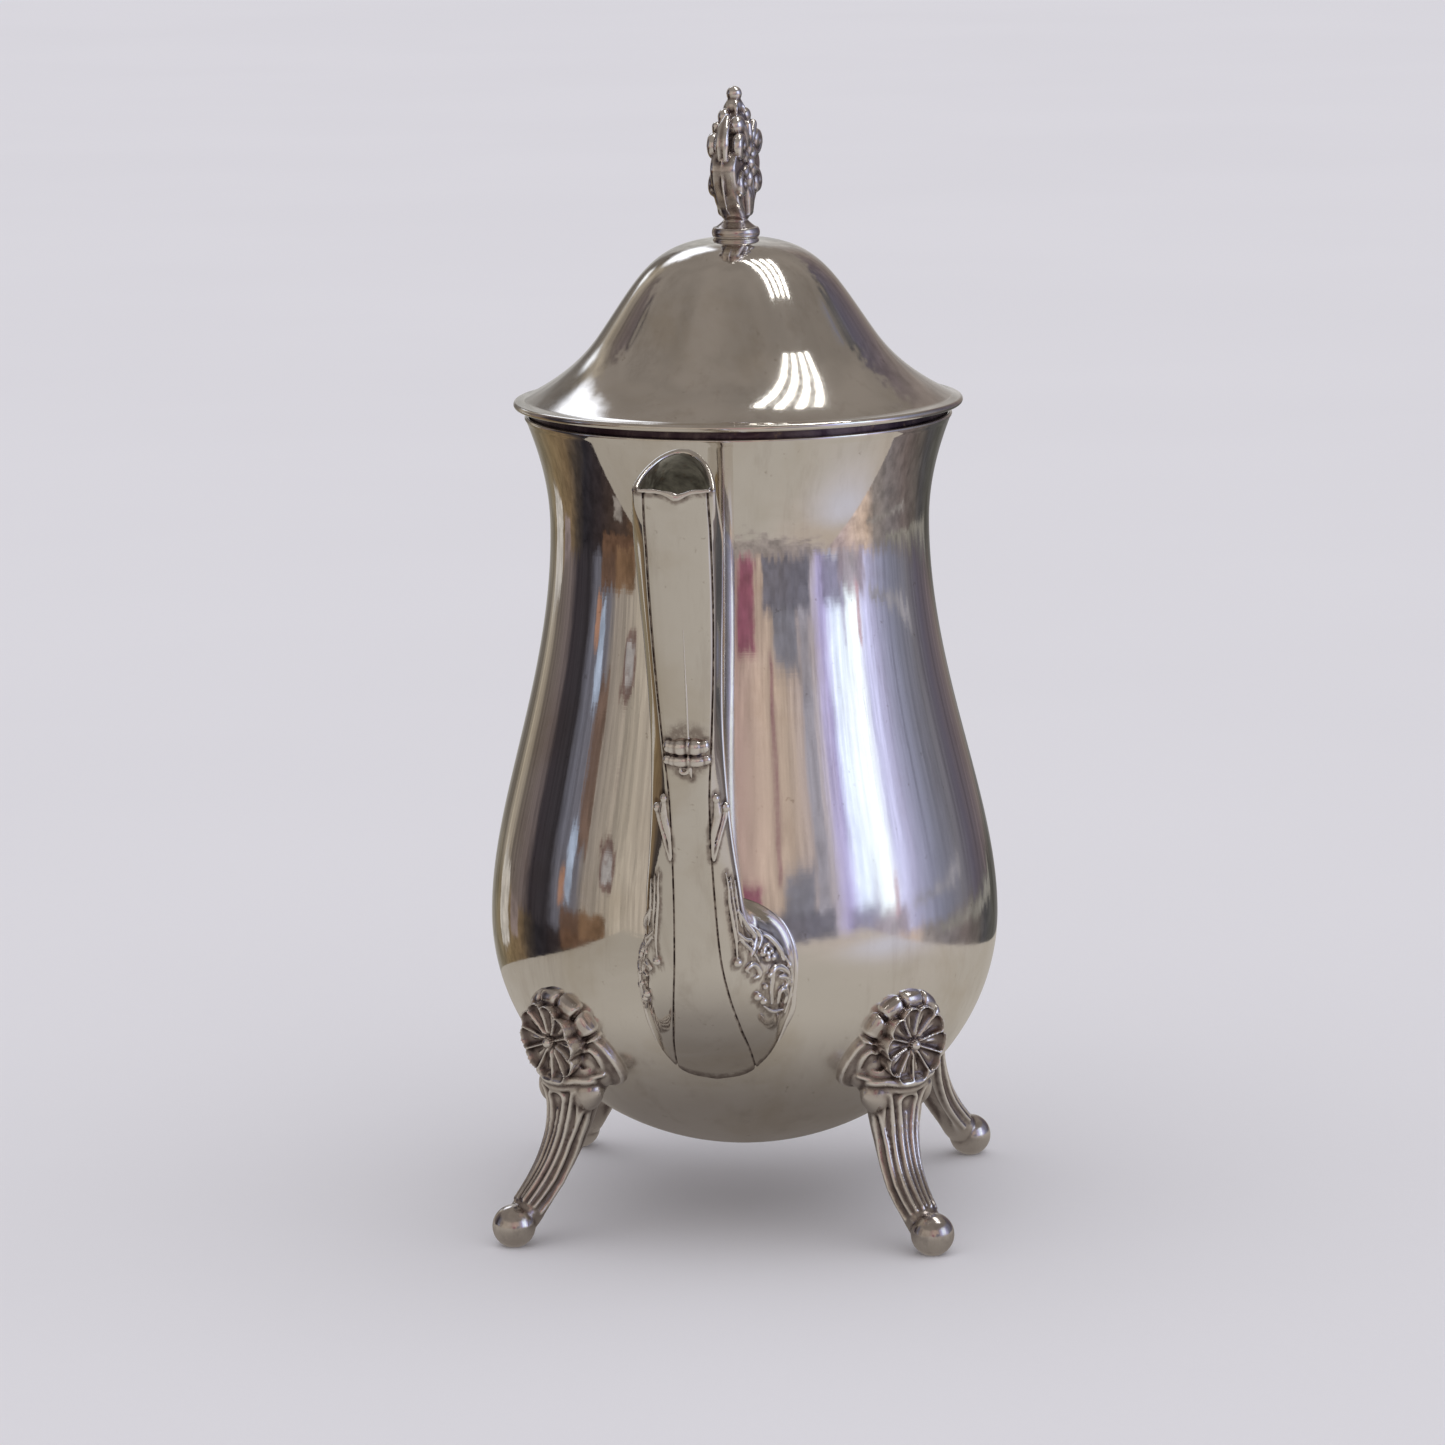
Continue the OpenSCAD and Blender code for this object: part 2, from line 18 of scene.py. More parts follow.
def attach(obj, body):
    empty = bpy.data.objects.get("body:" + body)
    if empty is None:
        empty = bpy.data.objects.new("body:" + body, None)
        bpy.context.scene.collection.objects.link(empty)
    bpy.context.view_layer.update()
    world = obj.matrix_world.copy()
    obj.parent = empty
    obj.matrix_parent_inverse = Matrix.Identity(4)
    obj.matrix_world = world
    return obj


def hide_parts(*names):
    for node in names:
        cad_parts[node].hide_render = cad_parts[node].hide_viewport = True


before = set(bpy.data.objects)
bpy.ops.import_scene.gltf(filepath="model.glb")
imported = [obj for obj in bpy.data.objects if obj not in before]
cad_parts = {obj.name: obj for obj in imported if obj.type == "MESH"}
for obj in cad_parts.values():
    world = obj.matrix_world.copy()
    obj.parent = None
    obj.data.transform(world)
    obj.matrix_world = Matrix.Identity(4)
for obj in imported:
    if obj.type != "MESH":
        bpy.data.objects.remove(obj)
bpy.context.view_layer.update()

MM = 0.001
POT = "pot"
LID = "lid"

# ------------------------------------------------------------------ driving sizes, mm

BELLY_R, BELLY_Z, BOWL_DEPTH = 58.0, 68.0, 53.0
WAIST_R, WAIST_Z = 43.0, 158.0
RIM_R, RIM_Z = 48.4, 183.0
BODY_WALL = 1.0
RING_IN_R, RING_OUT_R, RING_TOP_Z, RING_FOOT_Z = 45.0, 47.0, 184.8, 177.0
LID_R, LID_Z, CROWN_Z, LID_WALL, LIP_BEAD_R = 50.3, 186.0, 222.9, 1.0, 0.8
SKIRT_R, SKIRT_Z, SKIRT_T = 44.0, 178.5, 0.8
BUN_R, BUN_H, STUD_R = 5.8, 3.8, 2.0
TOE_RING_R, TOE_R = 66.4, 4.9
ROSETTE_Z, ROSETTE_FRONT, ROSETTE_TILT = 46.0, 59.4, 10.0
FOOT_ANGLES = {"front_left": -135, "front_right": -45, "back_left": 135, "back_right": 45}


# ------------------------------------------------------------------ curves

def bezier(p, n):
    """n points of a cubic Bezier curve, without its first point."""
    t = np.linspace(0, 1, n + 1)[1:, None]
    a, b, c, d = (np.array(q, float) for q in p)
    return (1 - t) ** 3 * a + 3 * (1 - t) ** 2 * t * b + 3 * (1 - t) * t * t * c + t ** 3 * d


def smooth_path(points, n):
    """n points of a Catmull-Rom curve through the given points, evenly spaced."""
    p = np.array(points, float)
    p = np.vstack([2 * p[0] - p[1], p, 2 * p[-1] - p[-2]])
    dense = []
    for i in range(1, len(p) - 2):
        t = np.linspace(0, 1, 24, endpoint=False)[:, None]
        a, b, c, d = p[i - 1], p[i], p[i + 1], p[i + 2]
        dense.append(0.5 * (2 * b + (c - a) * t + (2 * a - 5 * b + 4 * c - d) * t ** 2
                            + (3 * b - a - 3 * c + d) * t ** 3))
    dense.append(p[-2][None])
    return resample(np.vstack(dense), n)


def resample(path, n):
    """The same polyline with n points at even distances."""
    steps = np.r_[0, np.cumsum(np.linalg.norm(np.diff(path, axis=0), axis=1))]
    at = np.linspace(0, steps[-1], n)
    return np.stack([np.interp(at, steps, path[:, k]) for k in range(path.shape[1])], 1)


def shifted(path, d):
    """A 2-D outline moved to its left by d."""
    ahead = np.gradient(path, axis=0)
    ahead /= np.linalg.norm(ahead, axis=1)[:, None]
    return path + d * np.stack([-ahead[:, 1], ahead[:, 0]], 1)


def arc(centre, r, start, end, n):
    """Points of a round arc in 2-D, angles in degrees."""
    a = np.radians(np.linspace(start, end, n))
    return np.array(centre, float) + r * np.stack([np.cos(a), np.sin(a)], 1)


def smoothstep(x, low, high):
    t = np.clip((x - low) / (high - low), 0, 1)
    return t * t * (3 - 2 * t)


# ------------------------------------------------------------------ meshes in numpy

def grid_faces(rows, cols, wrap_cols=True, wrap_rows=False):
    """Quads of a grid of points numbered row by row."""
    r = np.arange(rows if wrap_rows else rows - 1)[:, None]
    c = np.arange(cols if wrap_cols else cols - 1)[None, :]
    r2, c2 = (r + 1) % rows, (c + 1) % cols
    return np.stack([r * cols + c, r * cols + c2, r2 * cols + c2, r2 * cols + c],
                    -1).reshape(-1, 4)


def lathe(outline, segments=256):
    """Surface of revolution about Z of a closed (r, z) outline."""
    turn = np.linspace(0, 2 * math.pi, segments, endpoint=False)
    r, z = outline[:, 0][:, None], outline[:, 1][:, None]
    points = np.stack([r * np.cos(turn), r * np.sin(turn), z + 0 * turn], -1)
    return points.reshape(-1, 3), grid_faces(len(outline), segments, True, False)


def closed_lathe(outline, segments=128):
    """The same for a ring whose outline joins up with itself."""
    points, _ = lathe(outline, segments)
    return points, grid_faces(len(outline), segments, True, True)


def loft(rings):
    """Closed skin through an array of rings, with a fan at each end."""
    rings = np.asarray(rings, float)
    rows, cols = rings.shape[:2]
    points = np.vstack([rings.reshape(-1, 3), rings[0].mean(0)[None], rings[-1].mean(0)[None]])
    j = np.arange(cols)
    k = (j + 1) % cols
    first, last = rows * cols, rows * cols + 1
    faces = [list(f) for f in grid_faces(rows, cols)]
    faces += [[first, b, a] for a, b in zip(j, k)]
    faces += [[last, (rows - 1) * cols + a, (rows - 1) * cols + b] for a, b in zip(j, k)]
    return points, faces


def ball(centre, radii, turn=None, cols=20, rows=12):
    """Closed ellipsoid; turn is a 3x3 matrix."""
    radii = np.broadcast_to(np.array(radii, float), 3)
    up = np.linspace(-90, 90, rows + 1)[1:-1] * math.pi / 180
    round_ = np.linspace(0, 2 * math.pi, cols, endpoint=False)
    rings = np.stack([np.cos(up)[:, None] * np.cos(round_), np.cos(up)[:, None] * np.sin(round_),
                      np.sin(up)[:, None] + 0 * round_], -1)
    points, faces = loft(rings)
    points[-2:] = [[0, 0, -1], [0, 0, 1]]
    points = points * radii
    if turn is not None:
        points = points @ np.array(turn).T
    return points + np.array(centre, float), faces


def frames_along(path):
    """Tangents and two steady normals along a 3-D path."""
    ahead = np.gradient(path, axis=0)
    ahead /= np.linalg.norm(ahead, axis=1)[:, None]
    side = np.cross(ahead[0], [0.31, 0.87, 0.39])
    sides = []
    for t in ahead:
        side = side - t * (side @ t)
        side = side / np.linalg.norm(side)
        sides.append(side)
    sides = np.array(sides)
    return ahead, sides, np.cross(ahead, sides)


def tube(path, radii, sides=12):
    """Closed round tube with domed ends along a 3-D path."""
    path = np.array(path, float)
    radii = np.interp(np.linspace(0, 1, len(path)), np.linspace(0, 1, len(np.atleast_1d(radii))),
                      np.atleast_1d(radii))
    ahead, a, b = frames_along(path)
    dome = np.radians([15, 40, 65])
    start = [(path[0] - ahead[0] * radii[0] * math.cos(d), a[0], b[0], radii[0] * math.sin(d))
             for d in dome]
    end = [(path[-1] + ahead[-1] * radii[-1] * math.cos(d), a[-1], b[-1], radii[-1] * math.sin(d))
           for d in dome[::-1]]
    rows = start + list(zip(path, a, b, radii)) + end
    turn = np.linspace(0, 2 * math.pi, sides, endpoint=False)[:, None]
    return loft([p + r * (np.cos(turn) * u + np.sin(turn) * v) for p, u, v, r in rows])


def joined(parts):
    """Several (points, faces) as one."""
    points, faces, start = [], [], 0
    for p, f in parts:
        points.append(np.asarray(p))
        faces += [[int(i) + start for i in q] for q in f]
        start += len(p)
    return np.vstack(points), faces


def turned(part, degrees, axis="Z"):
    points, faces = part
    turn = np.array(Matrix.Rotation(math.radians(degrees), 3, axis))
    return points @ turn.T, faces


def moved(part, by):
    return part[0] + np.array(by, float), part[1]


# ------------------------------------------------------------------ pieces in Blender

def new_mesh(name, points, faces, scale=MM):
    mesh = bpy.data.meshes.new(name)
    mesh.from_pydata((np.asarray(points) * scale).tolist(), [], [list(map(int, f)) for f in faces])
    mesh.validate()
    mesh.update()
    return mesh


def in_scene(name, data):
    obj = bpy.data.objects.new(name, data)
    bpy.context.scene.collection.objects.link(obj)
    return obj


def after_modifier(obj, kind, **settings):
    """A new mesh: the object's as one modifier leaves it."""
    modifier = obj.modifiers.new("step", kind)
    for key, value in settings.items():
        setattr(modifier, key, value)
    graph = bpy.context.evaluated_depsgraph_get()
    mesh = bpy.data.meshes.new_from_object(obj.evaluated_get(graph))
    obj.modifiers.clear()
    return mesh


def vectors(items, key):
    """A vector of each vertex or face of a mesh, as rows."""
    flat = np.zeros(len(items) * 3)
    items.foreach_get(key, flat)
    return flat.reshape(-1, 3)


def mark(mesh, name, values):
    """Point attribute that the materials read."""
    attribute = mesh.attributes.new(name, "FLOAT", "POINT")
    attribute.data.foreach_set("value", np.asarray(values, np.float32))


def merge_poles(mesh, distance=1e-6):
    """Welds the points that meet on the lathe's axis and drops faces left with no area."""
    b = bmesh.new()
    b.from_mesh(mesh)
    bmesh.ops.remove_doubles(b, verts=b.verts, dist=distance)
    bmesh.ops.dissolve_degenerate(b, edges=b.edges, dist=distance)
    bmesh.ops.recalc_face_normals(b, faces=b.faces)
    b.to_mesh(mesh)
    b.free()


def drop_specks(mesh, least=100):
    """Deletes loose islands of fewer points than this, which remeshing and cutting leave."""
    b = bmesh.new()
    b.from_mesh(mesh)
    seen, specks = set(), []
    for start in b.verts:
        if start in seen:
            continue
        seen.add(start)
        island, fresh = [start], [start]
        while fresh:
            vert = fresh.pop()
            for link in vert.link_edges:
                other = link.other_vert(vert)
                if other not in seen:
                    seen.add(other)
                    island.append(other)
                    fresh.append(other)
        if len(island) < least:
            specks += island
    bmesh.ops.delete(b, geom=specks, context="VERTS")
    b.to_mesh(mesh)
    b.free()


def piece(name, part, body, materials, hides=(), pick=None, weld=True):
    """One visible piece; pick(centres, normals) chooses the material slot of each face."""
    mesh = part if isinstance(part, bpy.types.Mesh) else new_mesh(name, *part)
    if weld:
        merge_poles(mesh)
    obj = in_scene(name, mesh)
    for m in materials:
        mesh.materials.append(m)
    mesh.polygons.foreach_set("use_smooth", [True] * len(mesh.polygons))
    if pick is not None:
        centres = vectors(mesh.polygons, "center") / MM
        index = pick(centres, vectors(mesh.polygons, "normal")).astype(np.int32)
        mesh.polygons.foreach_set("material_index", index)
    mesh.update()
    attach(obj, body)
    if hides:
        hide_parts(*hides)
    return obj


def neighbours(mesh):
    edges = np.zeros(len(mesh.edges) * 2, np.int64)
    mesh.edges.foreach_get("vertices", edges)
    return edges.reshape(-1, 2)


def smoothed(points, edges, steps, amount=0.5):
    """Points pulled towards the mean of their neighbours."""
    count = np.bincount(edges.ravel(), minlength=len(points))[:, None]
    for _ in range(steps):
        total = np.stack([np.bincount(edges[:, 0], points[edges[:, 1], k], len(points))
                          + np.bincount(edges[:, 1], points[edges[:, 0], k], len(points))
                          for k in range(3)], 1)
        points = points + amount * (total / count - points)
    return points


def mark_cavities(mesh, depth_mm, steps=24):
    """Point attribute "cavity": 1 in the hollows, 0.5 on plain surface, 0 on ridges."""
    points, normals = vectors(mesh.vertices, "co"), vectors(mesh.vertices, "normal")
    rise = ((smoothed(points, neighbours(mesh), steps) - points) * normals).sum(1)
    mark(mesh, "cavity", np.clip(0.5 + 0.5 * rise / (depth_mm * MM), 0, 1))


def fused(name, parts, voxel, steps=3, depth_mm=0.12):
    """Closed parts, in millimetres, as one cast skin with its hollows marked."""
    rough = new_mesh(name + "_rough", *joined(parts), scale=1.0)
    obj = in_scene(name + "_rough", rough)
    mesh = after_modifier(obj, "REMESH", mode="VOXEL", voxel_size=voxel)
    mesh.name = name
    bpy.data.objects.remove(obj)
    bpy.data.meshes.remove(rough)
    drop_specks(mesh)
    points = smoothed(vectors(mesh.vertices, "co"), neighbours(mesh), steps) * MM
    mesh.vertices.foreach_set("co", points.ravel())
    mesh.update()
    mark_cavities(mesh, depth_mm)
    return mesh


# ------------------------------------------------------------------ materials

def new_material(name):
    material = bpy.data.materials.new(name)
    material.use_nodes = True
    tree = material.node_tree
    shader = tree.nodes["Principled BSDF"]
    return material, tree, shader


def add(tree, kind, links=(), **values):
    """A node with its settings; links are (input, output socket) pairs."""
    node = tree.nodes.new(kind)
    for key, value in values.items():
        if hasattr(node, key):
            setattr(node, key, value)
        else:
            node.inputs[key.replace("_", " ")].default_value = value
    for socket, source in links:
        tree.links.new(source, node.inputs[socket])
    return node


def ramp(tree, source, stops):
    node = add(tree, "ShaderNodeValToRGB", [(0, source)])
    ends = node.color_ramp.elements
    while len(ends) < len(stops):
        ends.new(1.0)
    for element, (at, colour) in zip(ends, stops):
        element.position = at
        element.color = (*colour, 1)
    return node.outputs["Color"]


def noise(tree, place, scale, detail=3, roughness=0.5, stretch=(1, 1, 1), distortion=0.0):
    mapping = add(tree, "ShaderNodeMapping", [("Vector", place)])
    mapping.inputs["Scale"].default_value = stretch
    node = add(tree, "ShaderNodeTexNoise", [("Vector", mapping.outputs[0])])
    node.inputs["Scale"].default_value = scale
    node.inputs["Detail"].default_value = detail
    node.inputs["Roughness"].default_value = roughness
    node.inputs["Distortion"].default_value = distortion
    return node.outputs["Fac"]


def spread(tree, source, low, high, out_low=0.0, out_high=1.0):
    node = add(tree, "ShaderNodeMapRange", [("Value", source)])
    node.interpolation_type = "SMOOTHSTEP"
    for key, value in (("From Min", low), ("From Max", high), ("To Min", out_low),
                       ("To Max", out_high)):
        node.inputs[key].default_value = value
    return node.outputs[0]


def blend(tree, factor, a, b):
    """Mix of two colours; each is a socket or a plain colour."""
    node = add(tree, "ShaderNodeMix", data_type="RGBA")
    for index, value in ((6, a), (7, b)):
        if isinstance(value, tuple):
            node.inputs[index].default_value = (*value, 1)
        else:
            tree.links.new(value, node.inputs[index])
    tree.links.new(factor, node.inputs[0])
    return node.outputs[2]


def maths(tree, operation, a, b):
    node = add(tree, "ShaderNodeMath", operation=operation)
    for index, value in ((0, a), (1, b)):
        if isinstance(value, (int, float)):
            node.inputs[index].default_value = value
        else:
            tree.links.new(value, node.inputs[index])
    return node.outputs[0]


def bump(tree, height, distance, under=None):
    links = [("Height", height)]
    if under is not None:
        links.append(("Normal", under))
    node = add(tree, "ShaderNodeBump", links)
    node.inputs["Strength"].default_value = 1.0
    node.inputs["Distance"].default_value = distance
    return node.outputs[0]


WORN_BELOW = 0.11             # extra roughness of the dull, much rubbed plate round the feet


def polished_silver(name="polished_silver_plate", haze=1.0, wave=1.0, gloss=0.035):
    """Old silver plate: mirror polish, faint yellow tarnish, hairlines and smears."""
    material, tree, shader = new_material(name)
    place = add(tree, "ShaderNodeTexCoord").outputs["Object"]
    clouds = noise(tree, place, 34, detail=4, roughness=0.6, distortion=0.4)
    spots = noise(tree, place, 420, detail=3, roughness=0.65)
    tarnish = maths(tree, "MULTIPLY", spread(tree, clouds, 0.45, 0.75), 0.75)
    colour = blend(tree, tarnish, (0.84, 0.815, 0.775), (0.70, 0.645, 0.555))
    colour = blend(tree, spread(tree, spots, 0.66, 0.76, 0.0, 0.45), colour, (0.42, 0.37, 0.31))
    streaks = noise(tree, place, 190, detail=4, roughness=0.65, stretch=(1, 1, 0.06))
    colour = blend(tree, spread(tree, streaks, 0.50, 0.78, 0.0, 0.35), colour, (0.56, 0.51, 0.46))
    stain = add(tree, "ShaderNodeAttribute", attribute_name="stain").outputs["Fac"]
    patina = noise(tree, place, 520, detail=4, roughness=0.7)
    settled = maths(tree, "MULTIPLY", stain, spread(tree, patina, 0.30, 0.66, 0.45, 1.35))
    colour = blend(tree, spread(tree, settled, 0.02, 0.55, 0.0, 0.75), colour, (0.27, 0.215, 0.195))
    colour = blend(tree, spread(tree, settled, 0.55, 1.0), colour, (0.050, 0.036, 0.036))
    tree.links.new(colour, shader.inputs["Base Color"])
    shader.inputs["Metallic"].default_value = 1.0
    smear = noise(tree, place, 16, detail=5, roughness=0.65, stretch=(1, 1, 0.45))
    grain = noise(tree, place, 900, detail=2)
    rough = maths(tree, "ADD", spread(tree, smear, 0.42, 0.72, gloss, gloss + 0.09 * haze),
                  spread(tree, grain, 0.3, 0.8, 0.0, 0.03))
    height = add(tree, "ShaderNodeSeparateXYZ", [(0, place)]).outputs["Z"]
    worn = spread(tree, height, 0.036, 0.062, WORN_BELOW, 0.0)
    tree.links.new(maths(tree, "ADD", rough, worn), shader.inputs["Roughness"])
    lines = noise(tree, place, 260, detail=3, roughness=0.7, stretch=(0.06, 0.06, 3.0))
    hairs = noise(tree, place, 300, detail=2, roughness=0.7, stretch=(2.4, 0.9, 0.05))
    ripple = noise(tree, place, 26, detail=1, roughness=0.4)
    normal = bump(tree, ripple, 0.00010 * wave)
    normal = bump(tree, lines, 0.0000035, normal)
    normal = bump(tree, hairs, 0.0000045, normal)
    tree.links.new(normal, shader.inputs["Normal"])
    return material


def cast_silver(name="cast_silver_plate"):
    """Cast ornament: bright worn ridges, warm grey plate, brown patina in the hollows."""
    material, tree, shader = new_material(name)
    place = add(tree, "ShaderNodeTexCoord").outputs["Object"]
    cavity = add(tree, "ShaderNodeAttribute", attribute_name="cavity").outputs["Fac"]
    stain = noise(tree, place, 260, detail=4, roughness=0.65)
    blotch = noise(tree, place, 60, detail=3, roughness=0.6)
    uneven = maths(tree, "MULTIPLY_ADD", stain, 0.34)
    tree.links.new(cavity, uneven.node.inputs[2])
    bright = spread(tree, cavity, 0.16, 0.47, 1.0, 0.0)
    plate = blend(tree, spread(tree, blotch, 0.40, 0.66), (0.62, 0.575, 0.545), (0.47, 0.42, 0.40))
    plate = blend(tree, spread(tree, stain, 0.50, 0.72, 0.0, 0.7), plate, (0.36, 0.31, 0.30))
    colour = blend(tree, bright, plate, (0.92, 0.895, 0.875))
    colour = blend(tree, spread(tree, uneven, 0.60, 0.86, 0.0, 0.85), colour, (0.205, 0.165, 0.160))
    dark = spread(tree, uneven, 0.88, 1.14)
    colour = blend(tree, dark, colour, (0.062, 0.048, 0.048))
    tree.links.new(colour, shader.inputs["Base Color"])
    shader.inputs["Metallic"].default_value = 1.0
    pits = noise(tree, place, 800, detail=3, roughness=0.6)
    rough = maths(tree, "ADD", spread(tree, pits, 0.3, 0.75, 0.11, 0.24),
                  spread(tree, uneven, 0.6, 1.1, 0.0, 0.24))
    tree.links.new(rough, shader.inputs["Roughness"])
    normal = bump(tree, pits, 0.000022)
    normal = bump(tree, stain, 0.00005, normal)
    tree.links.new(normal, shader.inputs["Normal"])
    return material


def tarnished_silver(name="tarnished_silver_plate", dark=(0.055, 0.035, 0.05),
                     light=(0.20, 0.16, 0.17), rough=(0.28, 0.5), metal=1.0, pitting=0.00003):
    """Plate gone purple-black where no cloth reaches it."""
    material, tree, shader = new_material(name)
    place = add(tree, "ShaderNodeTexCoord").outputs["Object"]
    clouds = noise(tree, place, 90, detail=5, roughness=0.65, distortion=0.6)
    fine = noise(tree, place, 600, detail=3)
    colour = blend(tree, spread(tree, clouds, 0.4, 0.72), dark, light)
    colour = blend(tree, spread(tree, fine, 0.6, 0.75, 0, 0.5), colour, (0.34, 0.25, 0.16))
    tree.links.new(colour, shader.inputs["Base Color"])
    shader.inputs["Metallic"].default_value = metal
    tree.links.new(spread(tree, clouds, 0.3, 0.8, *rough), shader.inputs["Roughness"])
    tree.links.new(bump(tree, fine, pitting), shader.inputs["Normal"])
    return material


def ivory_plastic():
    """Insulators: aged cream plastic with a soft sheen and faint brown crazing."""
    material, tree, shader = new_material("aged_ivory_plastic")
    place = add(tree, "ShaderNodeTexCoord").outputs["Object"]
    clouds = noise(tree, place, 120, detail=4)
    streaks = noise(tree, place, 500, detail=3, stretch=(1, 0.2, 0.2))
    colour = blend(tree, spread(tree, clouds, 0.35, 0.7), (0.82, 0.74, 0.56), (0.70, 0.58, 0.38))
    colour = blend(tree, spread(tree, streaks, 0.62, 0.75, 0, 0.5), colour, (0.40, 0.28, 0.16))
    tree.links.new(colour, shader.inputs["Base Color"])
    tree.links.new(spread(tree, streaks, 0.3, 0.7, 0.30, 0.45), shader.inputs["Roughness"])
    tree.links.new(bump(tree, streaks, 0.00002), shader.inputs["Normal"])
    return material


def plain_brass():
    """Unplated brass hardware inside the lid."""
    material, tree, shader = new_material("unplated_brass")
    place = add(tree, "ShaderNodeTexCoord").outputs["Object"]
    clouds = noise(tree, place, 200, detail=4)
    threads = noise(tree, place, 900, detail=1, stretch=(0.02, 0.02, 1))
    colour = blend(tree, spread(tree, clouds, 0.35, 0.7), (0.72, 0.52, 0.24), (0.42, 0.28, 0.13))
    tree.links.new(colour, shader.inputs["Base Color"])
    shader.inputs["Metallic"].default_value = 1.0
    tree.links.new(spread(tree, clouds, 0.3, 0.7, 0.25, 0.42), shader.inputs["Roughness"])
    tree.links.new(bump(tree, threads, 0.00005), shader.inputs["Normal"])
    return material


POLISHED = polished_silver()
LID_SILVER = polished_silver("polished_silver_lid", haze=0.8, wave=0.6, gloss=0.075)
CAST = cast_silver()
TARNISHED = tarnished_silver()
STAINED = tarnished_silver("coffee_stained_inside", (0.16, 0.13, 0.10), (0.46, 0.41, 0.34),
                           (0.22, 0.42))
SPOUT_INSIDE = tarnished_silver("pitted_spout_inside", (0.15, 0.13, 0.10),
                                (0.78, 0.75, 0.60), (0.45, 0.7), 0.2, 0.00020)
IVORY = ivory_plastic()
BRASS = plain_brass()

# ------------------------------------------------------------------ body

def body_outline():
    """Outer (r, z) profile from the bottom centre up to the rim."""
    a = np.radians(np.linspace(0, 90, 61))
    bowl = np.stack([BELLY_R * np.sin(a), BELLY_Z - BOWL_DEPTH * np.cos(a)], 1)
    belly = bezier([[BELLY_R, BELLY_Z], [BELLY_R, BELLY_Z + 26.4],
                    [WAIST_R, WAIST_Z - 35.3], [WAIST_R, WAIST_Z]], 70)
    neck = bezier([[WAIST_R, WAIST_Z], [WAIST_R, WAIST_Z + 10.2],
                   [RIM_R - 2.5, RIM_Z - 6.3], [RIM_R, RIM_Z]], 30)
    return np.vstack([bowl, belly, neck])


BODY_OUTLINE = body_outline()


def body_radius(z):
    """Outer radius of the body at height z."""
    return np.interp(z, BODY_OUTLINE[:, 1], BODY_OUTLINE[:, 0])


def make_body():
    outer = BODY_OUTLINE
    inner = shifted(outer, BODY_WALL)
    inner[0] = [0, outer[0][1] + BODY_WALL]
    inner = inner[inner[:, 1] < RIM_Z - 0.4]
    ahead = outer[-1] - outer[-2]
    lean = math.degrees(math.atan2(ahead[1], ahead[0]))
    edge = arc(outer[-1] + [-0.5, -0.35], 0.5, lean - 90, lean + 90, 9)
    outline = np.vstack([outer[:-2], edge, inner[::-1]])
    points, faces = lathe(outline, 288)
    obj = piece("body", (points, faces), POT, [POLISHED, STAINED],
                ["body_shell"], pick=inside_body)
    pierce(obj)
    return obj


def inside_body(centres, normals):
    r = np.hypot(centres[:, 0], centres[:, 1])
    facing = (centres[:, 0] * normals[:, 0] + centres[:, 1] * normals[:, 1]) / np.maximum(r, 1e-6)
    below = (centres[:, 2] < 30) & (normals[:, 2] > 0.3)
    inwards = (facing < -0.2) & (centres[:, 2] < RIM_Z - 1.5)
    return inwards | below


STRAINER_Z, STRAINER_PITCH, STRAINER_R = 61.0, 5.0, 1.5
STRAINER_TURN = 0.11          # radians, so that the cutters' corners miss the wall's own edges


def pierce(obj):
    """Cuts the strainer's nineteen holes through the wall behind the spout."""
    rods = []
    for row in range(-2, 3):
        for col in range(max(-2, -row - 2), min(2, 2 - row) + 1):
            x = STRAINER_PITCH * (col + row / 2)
            z = STRAINER_Z + STRAINER_PITCH * row * math.sin(math.radians(60))
            turn = np.linspace(0, 2 * math.pi, 20, endpoint=False) + STRAINER_TURN
            ring = np.stack([x + STRAINER_R * np.cos(turn), 0 * turn, z + STRAINER_R * np.sin(turn)], 1)
            rods.append(loft([ring + [0, y, 0] for y in (-48, -68)]))
    cutter_mesh = new_mesh("strainer_cutter", *joined(rods))
    cutter = in_scene("strainer_cutter", cutter_mesh)
    cut = after_modifier(obj, "BOOLEAN", operation="DIFFERENCE", solver="EXACT", object=cutter)
    merge_poles(cut)
    drop_specks(cut)
    old = obj.data
    obj.data = cut
    cut.name = "body"
    bpy.data.meshes.remove(old)
    bpy.data.objects.remove(cutter)
    bpy.data.meshes.remove(cutter_mesh)


def make_mouth_ring():
    inner = shifted(BODY_OUTLINE, BODY_WALL)
    seat = inner[(inner[:, 1] > RING_FOOT_Z) & (inner[:, 0] < RING_OUT_R)]
    outline = np.vstack([
        [[RING_IN_R, seat[0][1]]], seat, [[RING_OUT_R, RIM_Z]],
        arc([RING_OUT_R - 0.3, RING_TOP_Z - 0.3], 0.3, 0, 90, 5),
        arc([RING_IN_R + 0.3, RING_TOP_Z - 0.3], 0.3, 90, 180, 5)])
    piece("ring_in_mouth", closed_lathe(outline, 192), POT, [TARNISHED],
          ["mouth_ring"])


# ------------------------------------------------------------------ lid

def lid_outline():
    """Outer (r, z) profile from the crown down to the bead's start."""
    skirt = bezier([[LID_R, LID_Z], [LID_R - 8.1, LID_Z + 3.8], [35.7, 194.5], [31.2, 201.1]], 44)
    dome = bezier([[31.2, 201.1], [21.3, 215.3], [18.7, CROWN_Z], [0, CROWN_Z]], 56)
    return np.vstack([[[LID_R, LID_Z]], skirt, dome])[::-1]


